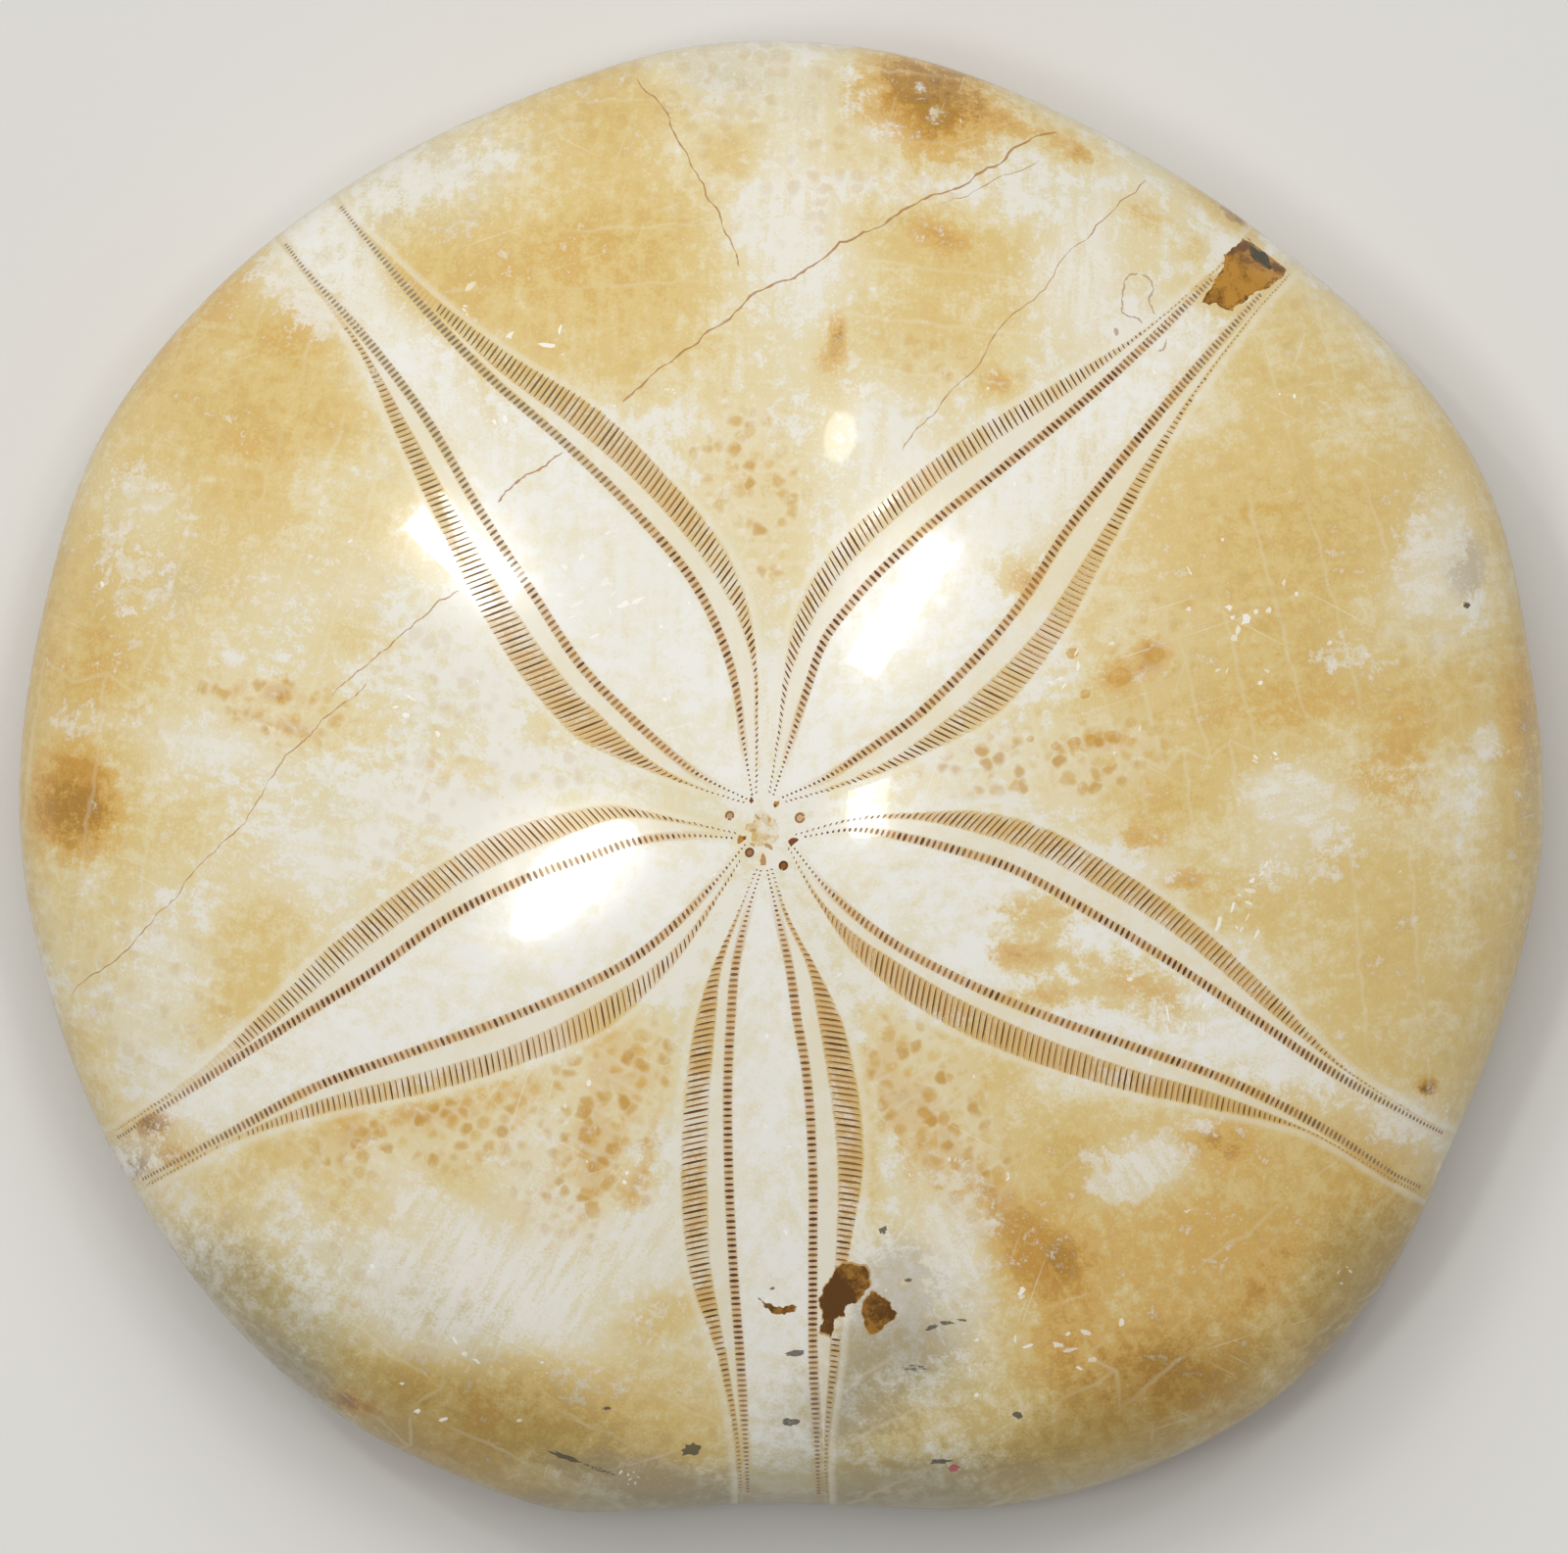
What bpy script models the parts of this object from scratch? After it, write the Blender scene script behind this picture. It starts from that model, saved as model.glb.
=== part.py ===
"""Fossil sea urchin: a low five-lobed dome with five petals of pores on its upper side.

The whole fossil is one solid, as it grew and turned to stone.  It rests on five pads of
its underside, with +Z up, the front petal toward -Y, and the origin under the middle of
its width and length.  Lengths are in millimetres until build_solid() writes metres.
"""

import bmesh
import bpy
import numpy as np

NODE_NAME = "fossil_sea_urchin"
METRES_PER_MM = 0.001

# Heights above the surface that the fossil rests on.
HEIGHT = 31.0
RIM_HEIGHT = 11.0
DISH_HEIGHT = 4.2

# How round the dome and the lower margin are (exponents of their superellipses), and the
# fraction of the way out over which the dome's tip is rounded off.
DOME_FULLNESS = 1.35
DOME_ROUNDNESS = 2.1
MARGIN_ROUNDNESS = 2.2
TIP_ROUNDING = 0.05

# Fractions of the way from the apex line to the margin.
PAD_INNER = 0.74
DISH_EDGE = 0.72
MOUTH_EDGE = 0.082
LIP_MIDDLE = 0.150
LIP_SPREAD = 0.045

# Underside relief.
MOUTH_DEPTH = 4.6
LIP_SWELL = 1.5
FURROW_DEPTH = 1.1
PAD_FLAT = 0.34

# Anal opening, an oval pit on the underside near the back margin.
VENT_HEADING = 87.5
VENT_REACH = 45.5
VENT_HALF_WIDTH = 3.1
VENT_HALF_LENGTH = 4.3
VENT_DEPTH = 3.2
VENT_PULL = 0.5
VENT_PULL_REACH = 3.0

# Margin: degrees anticlockwise from +X seen from above, and reach from the apex.
MARGIN = (
    (0, 56.2), (12, 56.6), (27, 57.9), (38, 57.2), (48, 56.3), (64, 56.0),
    (84, 57.1), (96, 56.9), (106, 55.9), (122, 55.5), (136, 55.7), (150, 55.7),
    (162, 54.5), (180, 53.7), (196, 52.7), (210, 52.3), (230, 52.2), (246, 51.4),
    (253, 51.1), (262, 49.3), (270, 48.4), (278, 49.1), (288, 51.3), (300, 53.4),
    (315, 55.2), (324, 55.2), (336, 54.5), (348, 55.1),
)

# Petals.  Each has a start near the apex, a heading, and three curves on either side of
# its middle line: the inner pore row, then the two edges of the outer pore band, as
# sideways distances at these stations along the middle line.
STATIONS = (0.0, 3.5, 7.1, 10.6, 14.1, 21.2, 28.3, 35.4, 42.4, 49.5)
PETALS = {
    "right": {
        "start": (2.0, -0.6),
        "heading": -26.9,
        "clockwise": (
            (0.2, 1.8, 2.8, 3.3, 3.4, 3.0, 2.1, 1.2, 1.1, 1.8),
            (0.4, 2.7, 3.9, 4.3, 4.6, 4.5, 3.7, 2.4, 1.8, 2.1),
            (0.6, 3.0, 5.0, 6.1, 6.6, 6.4, 5.3, 3.5, 1.9, 2.3),
        ),
        "anticlockwise": (
            (0.2, 2.7, 3.9, 4.7, 5.3, 5.1, 4.5, 3.6, 2.7, 2.4),
            (0.4, 3.4, 5.3, 6.3, 6.9, 7.0, 6.3, 4.7, 3.3, 2.6),
            (0.6, 3.7, 5.9, 7.8, 8.8, 8.8, 7.8, 5.9, 3.5, 2.7),
        ),
    },
    "back_right": {
        "start": (0.8, 2.5),
        "heading": 47.4,
        "clockwise": (
            (0.2, 1.7, 2.6, 3.4, 3.7, 3.6, 2.4, 1.8, 1.4, 1.2),
            (0.4, 2.5, 4.0, 4.9, 5.4, 5.7, 4.6, 3.3, 2.3, 1.7),
            (0.6, 2.8, 4.7, 6.2, 7.4, 7.4, 5.7, 4.0, 2.5, 1.8),
        ),
        "anticlockwise": (
            (0.2, 1.8, 3.5, 5.0, 5.4, 5.1, 4.0, 3.0, 2.4, 2.1),
            (0.4, 2.7, 5.0, 6.4, 7.2, 7.1, 5.9, 4.2, 3.1, 2.3),
            (0.6, 3.0, 5.7, 7.8, 8.8, 8.6, 7.4, 5.3, 3.3, 2.4),
        ),
    },
    "back_left": {
        "start": (-1.0, 2.5),
        "heading": 127.5,
        "clockwise": (
            (0.2, 2.1, 4.1, 5.4, 6.1, 5.9, 4.9, 3.5, 2.8, 2.5),
            (0.4, 3.1, 5.7, 7.1, 7.6, 7.5, 6.2, 4.3, 3.2, 2.6),
            (0.6, 3.4, 6.1, 8.1, 9.2, 9.3, 8.3, 5.7, 3.8, 2.7),
        ),
        "anticlockwise": (
            (0.2, 1.9, 2.8, 3.4, 3.8, 3.4, 2.8, 1.9, 1.8, 2.3),
            (0.4, 2.8, 4.2, 4.8, 5.3, 5.1, 4.3, 3.3, 2.4, 2.4),
            (0.6, 3.0, 5.3, 7.1, 7.6, 7.3, 5.9, 4.4, 2.8, 2.6),
        ),
    },
    "left": {
        "start": (-1.4, -0.6),
        "heading": 206.6,
        "clockwise": (
            (0.2, 2.2, 3.5, 4.0, 4.5, 4.6, 3.5, 2.8, 2.0, 1.1),
            (0.4, 3.2, 5.4, 6.0, 6.3, 6.2, 5.1, 3.5, 2.3, 1.6),
            (0.6, 3.5, 6.4, 7.6, 8.3, 8.1, 6.9, 4.7, 2.8, 1.7),
        ),
        "anticlockwise": (
            (0.2, 1.8, 3.1, 3.9, 4.1, 3.7, 2.8, 2.0, 2.2, 2.4),
            (0.4, 2.5, 4.3, 5.2, 5.6, 5.6, 4.4, 3.0, 2.6, 2.8),
            (0.6, 2.8, 5.0, 6.5, 7.4, 7.1, 5.9, 4.0, 2.9, 3.0),
        ),
    },
    "front": {
        "start": (0.0, -2.6),
        "heading": 271.8,
        "clockwise": (
            (0.2, 1.4, 2.3, 2.7, 3.0, 3.2, 3.1, 2.8, 2.6, 2.6),
            (0.4, 2.0, 3.3, 3.8, 4.2, 4.7, 4.7, 3.7, 3.0, 3.1),
            (0.6, 2.2, 4.0, 5.2, 5.9, 6.6, 6.3, 4.3, 3.3, 3.3),
        ),
        "anticlockwise": (
            (0.2, 0.9, 1.6, 2.0, 2.5, 2.8, 2.6, 2.4, 2.5, 2.5),
            (0.4, 1.4, 2.9, 3.5, 4.0, 4.6, 4.2, 3.6, 3.0, 3.1),
            (0.6, 1.7, 3.5, 5.1, 5.9, 6.4, 5.1, 4.2, 3.2, 3.3),
        ),
    },
}

# Zones counted across the surface: 0 on a petal's middle line, 1 on its inner pore row,
# 2 and 3 on the edges of the outer pore band, 4 midway to the next petal.
MID_PETAL, INNER_ROW, BAND_START, BAND_END, MIDWAY = 0.0, 1.0, 2.0, 3.0, 4.0
RELIEF_ZONES = (0.0, 0.5, 1.0, 2.0, 2.5, 3.0, 3.5, 4.0)
RELIEF = (0.22, 0.16, -0.06, -0.14, -0.24, -0.08, 0.22, 0.30)

# Mesh: columns run down the dome and back to the mouth, rings go round it.
COLUMNS_PER_SECTOR = 20
UPPER_RINGS = 24
LOWER_RINGS = 22
RING_CROWDING = 1.6
EVEN_FROM = 0.60

STONE_COLOUR = (0.71, 0.62, 0.45, 1.0)
STONE_ROUGHNESS = 0.14


def clear_scene():
    for old in list(bpy.data.objects):
        bpy.data.objects.remove(old, do_unlink=True)


def smooth_curve(at, knots, values):
    """Height of a smooth curve through the knots, made of cubic Hermite pieces."""
    knots, values = np.asarray(knots, float), np.asarray(values, float)
    slopes = np.gradient(values, knots)
    at = np.clip(at, knots[0], knots[-1])
    first = np.clip(np.searchsorted(knots, at) - 1, 0, len(knots) - 2)
    span = knots[first + 1] - knots[first]
    u = (at - knots[first]) / span
    rise = u * u * (3 - 2 * u)
    leave = u * (1 - u) ** 2 * span * slopes[first]
    arrive = u * u * (u - 1) * span * slopes[first + 1]
    return values[first] * (1 - rise) + values[first + 1] * rise + leave + arrive


def smooth_step(at, low, high):
    u = np.clip((at - low) / (high - low), 0, 1)
    return u * u * (3 - 2 * u)


def bump(at, middle, spread):
    return np.exp(-(((at - middle) / spread) ** 2))


def direction(heading):
    turn = np.radians(heading)
    return np.array((np.cos(turn), np.sin(turn)))


def margin_reach(heading):
    """Distance from the apex line to the margin in a heading given in degrees."""
    around = [(angle + turn, reach) for turn in (-360, 0, 360) for angle, reach in MARGIN]
    angles, reaches = zip(*around)
    return smooth_curve(np.mod(heading, 360), angles, reaches)


def petal_rows(petal, along, side):
    """The three row distances at a place along a petal; side is +1 clockwise, -1 not."""
    rows = []
    for right, left in zip(petal["clockwise"], petal["anticlockwise"]):
        on_right = smooth_curve(along, STATIONS, right)
        on_left = smooth_curve(along, STATIONS, left)
        rows.append(np.where(side > 0, on_right, on_left))
    return rows


def zone_across(points):
    """Zone number, 0 to 4, of each point seen from above (see MID_PETAL to MIDWAY)."""
    zone = np.full(len(points), np.inf)
    gaps = []
    for petal in PETALS.values():
        ahead = direction(petal["heading"])
        offset = points - np.array(petal["start"])
        along = offset @ ahead
        sideways = offset @ np.array((ahead[1], -ahead[0]))
        inner, start, end = petal_rows(petal, along, sideways)
        reach = np.abs(sideways)
        inside = np.where(
            reach < inner,
            reach / inner,
            np.where(
                reach < start,
                INNER_ROW + (reach - inner) / (start - inner),
                BAND_START + (reach - start) / (end - start),
            ),
        )
        zone = np.where((along > 0) & (reach < end), np.minimum(zone, inside), zone)
        gaps.append(np.where(along > 0, reach - end, np.hypot(along, reach)))
    nearest = np.sort(np.array(gaps), axis=0)
    first, second = np.maximum(nearest[0], 0.0), np.maximum(nearest[1], 0.01)
    between = BAND_END + 2 * first / (first + second)
    return np.where(np.isinf(zone), between, zone)


def reach_of(points):
    """How far out each point is: 0 at the apex line and 1 at the margin."""
    headings = np.degrees(np.arctan2(points[:, 1], points[:, 0]))
    return np.hypot(points[:, 0], points[:, 1]) / margin_reach(headings)


def sector_of(points):
    """Place in its fifth of the fossil: 0 on a petal's line, 1 midway to the next."""
    axes = np.array([petal["heading"] for petal in PETALS.values()])
    axes = np.concatenate([axes - 360, axes, axes + 360])
    headings = np.degrees(np.arctan2(points[:, 1], points[:, 0]))
    place = np.interp(headings, axes, np.arange(len(axes)))
    return 1 - 2 * np.abs(place % 1 - 0.5)


def upper_height(points):
    """Height of the dome over each point seen from above."""
    reach = np.clip(reach_of(points), 0, 1)
    out = np.hypot(reach, TIP_ROUNDING) - TIP_ROUNDING
    out /= np.hypot(1, TIP_ROUNDING) - TIP_ROUNDING
    dome = np.clip(1 - out**DOME_FULLNESS, 0, 1) ** (1 / DOME_ROUNDNESS)
    relief = smooth_curve(zone_across(points), RELIEF_ZONES, RELIEF)
    fade = smooth_step(reach, 0.10, 0.45) * (1 - smooth_step(reach, 0.80, 1.0))
    return RIM_HEIGHT + (HEIGHT - RIM_HEIGHT) * dome + relief * fade


def vent_place(points):
    """Offset of each point from the anal opening, in units of its half width and length."""
    ahead = direction(VENT_HEADING)
    aside = np.array((ahead[1], -ahead[0]))
    offset = points - VENT_REACH * ahead
    return np.hypot(offset @ ahead / VENT_HALF_LENGTH, offset @ aside / VENT_HALF_WIDTH)


def gather_at_vent(points):
    """Moves the mesh points near the anal opening closer, so that its rim is drawn well."""
    near = smooth_step(vent_place(points), 0.0, VENT_PULL_REACH)
    pull = VENT_PULL + (1 - VENT_PULL) * near
    middle = VENT_REACH * direction(VENT_HEADING)
    return middle + (points - middle) * pull[:, None]


def lower_height(points):
    """Height of the underside over each point seen from above."""
    reach, sector = np.clip(reach_of(points), 0, 1), sector_of(points)
    outer = np.clip((reach - PAD_INNER) / (1 - PAD_INNER), 0, 1)
    curl = 1 - (1 - outer**MARGIN_ROUNDNESS) ** (1 / MARGIN_ROUNDNESS)
    dish = (1 - np.clip(reach / DISH_EDGE, 0, 1) ** 2) ** 2
    mouth_edge = MOUTH_EDGE * (1.15 - 0.3 * sector)
    mouth = np.exp(-((reach / mouth_edge) ** 4))
    lips = bump(reach, LIP_MIDDLE, LIP_SPREAD) * smooth_step(sector, 0.2, 0.9)
    trough = (1 - smooth_step(sector, 0.0, 0.75)) * smooth_step(reach, 0.1, 0.3)
    trough *= 1 - smooth_step(reach, 0.85, 1.0)
    height = RIM_HEIGHT * curl + DISH_HEIGHT * dish + MOUTH_DEPTH * mouth
    height += FURROW_DEPTH * trough - LIP_SWELL * lips
    height += VENT_DEPTH * (1 - smooth_step(vent_place(points), 0.35, 1.15))
    settle = PAD_FLAT * (1 - smooth_step(reach, 0.85, 1.0))
    return np.maximum(height - settle, 0)


def following_angles(petal, reach):
    """Headings of a petal's columns on one ring, so that they follow its pore rows."""
    ahead = direction(petal["heading"])
    aside = np.array((ahead[1], -ahead[0]))
    start = np.array(petal["start"])
    angles = []
    for level in (3, 2.5, 2, 1, 0.5, 0, -0.5, -1, -2, -2.5, -3):
        heading = petal["heading"]
        along = 0.0
        for _ in range(6):
            rows = petal_rows(petal, along, np.sign(level))
            offset = np.sign(level) * np.interp(abs(level), (0, 1, 2, 3), (0.0, *rows))
            spot = start + along * ahead + offset * aside
            heading = np.degrees(np.arctan2(spot[1], spot[0]))
            along += reach * margin_reach(heading) - np.hypot(*spot)
            along = max(along, 0.0)
        turn = (heading - petal["heading"] + 180) % 360 - 180
        angles.append(petal["heading"] + turn)
    return angles


def ring_angles(reach):
    """Headings of all the columns on one ring, anticlockwise."""
    petals = list(PETALS.values())
    following = [following_angles(petal, reach) for petal in petals]
    axes = [petal["heading"] for petal in petals]
    middle = len(following[0]) // 2
    angles = []
    for index, own in enumerate(following):
        after = (index + 1) % len(petals)
        turn = 360 if after == 0 else 0
        border = [angle + turn for angle in following[after][: middle + 1]]
        gaps = COLUMNS_PER_SECTOR - 2 * middle
        between = np.linspace(own[-1], border[0], gaps + 1)[1:-1]
        close = np.concatenate([own[middle:], between, border[:-1]])
        even = np.linspace(axes[index], axes[after] + turn, COLUMNS_PER_SECTOR + 1)[:-1]
        mix = smooth_step(reach, EVEN_FROM, 1.0)
        angles.extend(close * (1 - mix) + even * mix)
    return np.array(angles)


def ring_points(reach, angles):
    spread = reach * margin_reach(angles)
    return spread[:, None] * np.stack(direction(angles), axis=1)


def upper_rings():
    rings = []
    for step in range(1, UPPER_RINGS + 1):
        reach = 1 - (1 - step / UPPER_RINGS) ** RING_CROWDING
        points = ring_points(reach, ring_angles(reach))
        rings.append(np.column_stack([points, upper_height(points)]))
    return rings


def lower_rings():
    angles = ring_angles(1.0)
    rings = []
    for step in range(1, LOWER_RINGS):
        reach = (1 + np.cos(np.pi * step / LOWER_RINGS)) / 2
        points = gather_at_vent(ring_points(reach, angles))
        rings.append(np.column_stack([points, lower_height(points)]))
    return rings


def join_rings(mesh, upper, lower):
    for index, vertex in enumerate(upper):
        mesh.faces.new((upper[index - 1], vertex, lower[index], lower[index - 1]))


def close_with(mesh, ring, tip):
    for index, vertex in enumerate(ring):
        mesh.faces.new((ring[index - 1], vertex, tip))


def build_solid():
    rings = upper_rings() + lower_rings()
    low, high = rings[UPPER_RINGS - 1].min(axis=0), rings[UPPER_RINGS - 1].max(axis=0)
    shift = np.array((-(low[0] + high[0]) / 2, -(low[1] + high[1]) / 2, 0.0))
    mesh = bmesh.new()
    loops = []
    for ring in rings:
        places = (ring + shift) * METRES_PER_MM
        loops.append([mesh.verts.new(place) for place in places])
    mouth_floor = DISH_HEIGHT + MOUTH_DEPTH - PAD_FLAT
    apex = mesh.verts.new((shift + (0, 0, HEIGHT)) * METRES_PER_MM)
    mouth = mesh.verts.new((shift + (0, 0, mouth_floor)) * METRES_PER_MM)
    for upper, lower in zip(loops, loops[1:]):
        join_rings(mesh, upper, lower)
    close_with(mesh, loops[0], apex)
    close_with(mesh, loops[-1], mouth)
    bmesh.ops.recalc_face_normals(mesh, faces=mesh.faces)
    bmesh.ops.triangulate(mesh, faces=mesh.faces)
    data = bpy.data.meshes.new(NODE_NAME)
    mesh.to_mesh(data)
    mesh.free()
    data.shade_smooth()
    urchin = bpy.data.objects.new(NODE_NAME, data)
    bpy.context.scene.collection.objects.link(urchin)
    return urchin


def polished_stone():
    material = bpy.data.materials.new("polished_calcite")
    material.use_nodes = True
    shader = material.node_tree.nodes["Principled BSDF"]
    shader.inputs["Base Color"].default_value = STONE_COLOUR
    shader.inputs["Roughness"].default_value = STONE_ROUGHNESS
    shader.inputs["Metallic"].default_value = 0.0
    return material


clear_scene()
fossil = build_solid()
fossil.data.materials.append(polished_stone())
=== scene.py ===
# %% [markdown]
# # A polished fossil sea urchin
#
# The real thing is the shell of a sea urchin that turned to calcite and was polished.
# It is one solid stone, so the whole of it is one mesh here.  This lesson builds that
# mesh from a few curves, cuts the pores into it, and then colours the stone with nodes.
#
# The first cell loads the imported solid, which gives the size and the place.

import bpy
import numpy as np
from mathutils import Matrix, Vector
from mathutils.geometry import delaunay_2d_cdt
from mathutils.noise import noise as value_noise


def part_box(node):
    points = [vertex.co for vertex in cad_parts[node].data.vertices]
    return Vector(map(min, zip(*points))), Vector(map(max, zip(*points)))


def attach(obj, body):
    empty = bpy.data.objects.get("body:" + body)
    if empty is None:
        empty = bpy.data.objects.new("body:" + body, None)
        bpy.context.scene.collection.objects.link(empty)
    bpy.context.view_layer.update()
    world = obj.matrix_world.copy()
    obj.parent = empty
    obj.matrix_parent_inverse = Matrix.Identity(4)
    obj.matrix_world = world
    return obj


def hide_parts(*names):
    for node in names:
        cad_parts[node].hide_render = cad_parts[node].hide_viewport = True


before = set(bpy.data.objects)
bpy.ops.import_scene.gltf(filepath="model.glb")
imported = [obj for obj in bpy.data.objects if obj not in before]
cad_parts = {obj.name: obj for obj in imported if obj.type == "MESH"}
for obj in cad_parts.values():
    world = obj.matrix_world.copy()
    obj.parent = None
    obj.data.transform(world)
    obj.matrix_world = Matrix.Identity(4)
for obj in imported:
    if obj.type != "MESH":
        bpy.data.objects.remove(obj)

NODE = "fossil_sea_urchin"
METRES_PER_MM = 0.001

solid_low, solid_high = (np.array(corner) / METRES_PER_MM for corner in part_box(NODE))
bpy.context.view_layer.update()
HEIGHT = float(solid_high[2])
print(f"solid: {solid_high[0] - solid_low[0]:.1f} x {solid_high[1] - solid_low[1]:.1f} mm")

# %% [markdown]
# ## Smooth curves through a few points
#
# A shell has no straight edges, so its outline and its rows of pores are curves.  One
# could draw each with a Bezier curve object.  Here a small function does it instead,
# because the same curve also has to answer questions such as "how far is the edge in
# this direction?" for many thousand points at once.

# %% Curve helpers


def smooth_curve(at, knots, values):
    """Height of a smooth curve through the knots, made of cubic Hermite pieces."""
    knots, values = np.asarray(knots, float), np.asarray(values, float)
    slopes = np.gradient(values, knots)
    at = np.clip(at, knots[0], knots[-1])
    first = np.clip(np.searchsorted(knots, at) - 1, 0, len(knots) - 2)
    span = knots[first + 1] - knots[first]
    u = (at - knots[first]) / span
    rise = u * u * (3 - 2 * u)
    leave = u * (1 - u) ** 2 * span * slopes[first]
    arrive = u * u * (u - 1) * span * slopes[first + 1]
    return values[first] * (1 - rise) + values[first + 1] * rise + leave + arrive


def smooth_step(at, low, high):
    u = np.clip((at - low) / (high - low), 0, 1)
    return u * u * (3 - 2 * u)


def bump(at, middle, spread):
    return np.exp(-(((at - middle) / spread) ** 2))


def direction(heading):
    turn = np.radians(heading)
    return np.array((np.cos(turn), np.sin(turn)))


def to_right(heading):
    """The direction to the right of a heading, seen from above."""
    return direction(heading - 90)


# %% [markdown]
# ## The outline
#
# Seen from above, the shell has five soft lobes and a notch at its front petal.  All
# lengths are millimetres from the apex, the point where the petals meet.

# %% Outline
MARGIN = (
    (0, 56.2), (12, 56.6), (27, 57.9), (38, 57.2), (48, 56.3), (64, 56.0),
    (84, 57.1), (96, 56.9), (106, 55.9), (122, 55.5), (136, 55.7), (150, 55.7),
    (162, 54.5), (180, 53.7), (196, 52.7), (210, 52.3), (230, 52.2), (246, 51.4),
    (253, 51.1), (262, 49.3), (270, 48.4), (278, 49.1), (288, 51.3), (300, 53.4),
    (315, 55.2), (324, 55.2), (336, 54.5), (348, 55.1),
)


def margin_reach(heading):
    """Distance from the apex line to the margin in a heading given in degrees."""
    around = [(angle + turn, reach) for turn in (-360, 0, 360) for angle, reach in MARGIN]
    angles, reaches = zip(*around)
    return smooth_curve(np.mod(heading, 360), angles, reaches)


def reach_of(points):
    """How far out each point is: 0 at the apex line and 1 at the margin."""
    headings = np.degrees(np.arctan2(points[:, 1], points[:, 0]))
    return np.hypot(points[:, 0], points[:, 1]) / margin_reach(headings)


every_way = np.arange(0, 360, 3.6)
edge = margin_reach(every_way)[:, None] * direction(every_way).T
APEX = -(edge.min(axis=0) + edge.max(axis=0)) / 2
print("the apex stands at", APEX.round(2), "mm from the middle of the shell")

# %% [markdown]
# ## The five petals
#
# Each petal is an outline drawn by pores: on either side of its middle line there is an
# inner row of short pores and an outer band of long slits.  So a petal is a start, a
# heading and three curves on either side.  No two petals of a real shell are quite
# alike, and keeping that is what makes the model look grown and not stamped.

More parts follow.
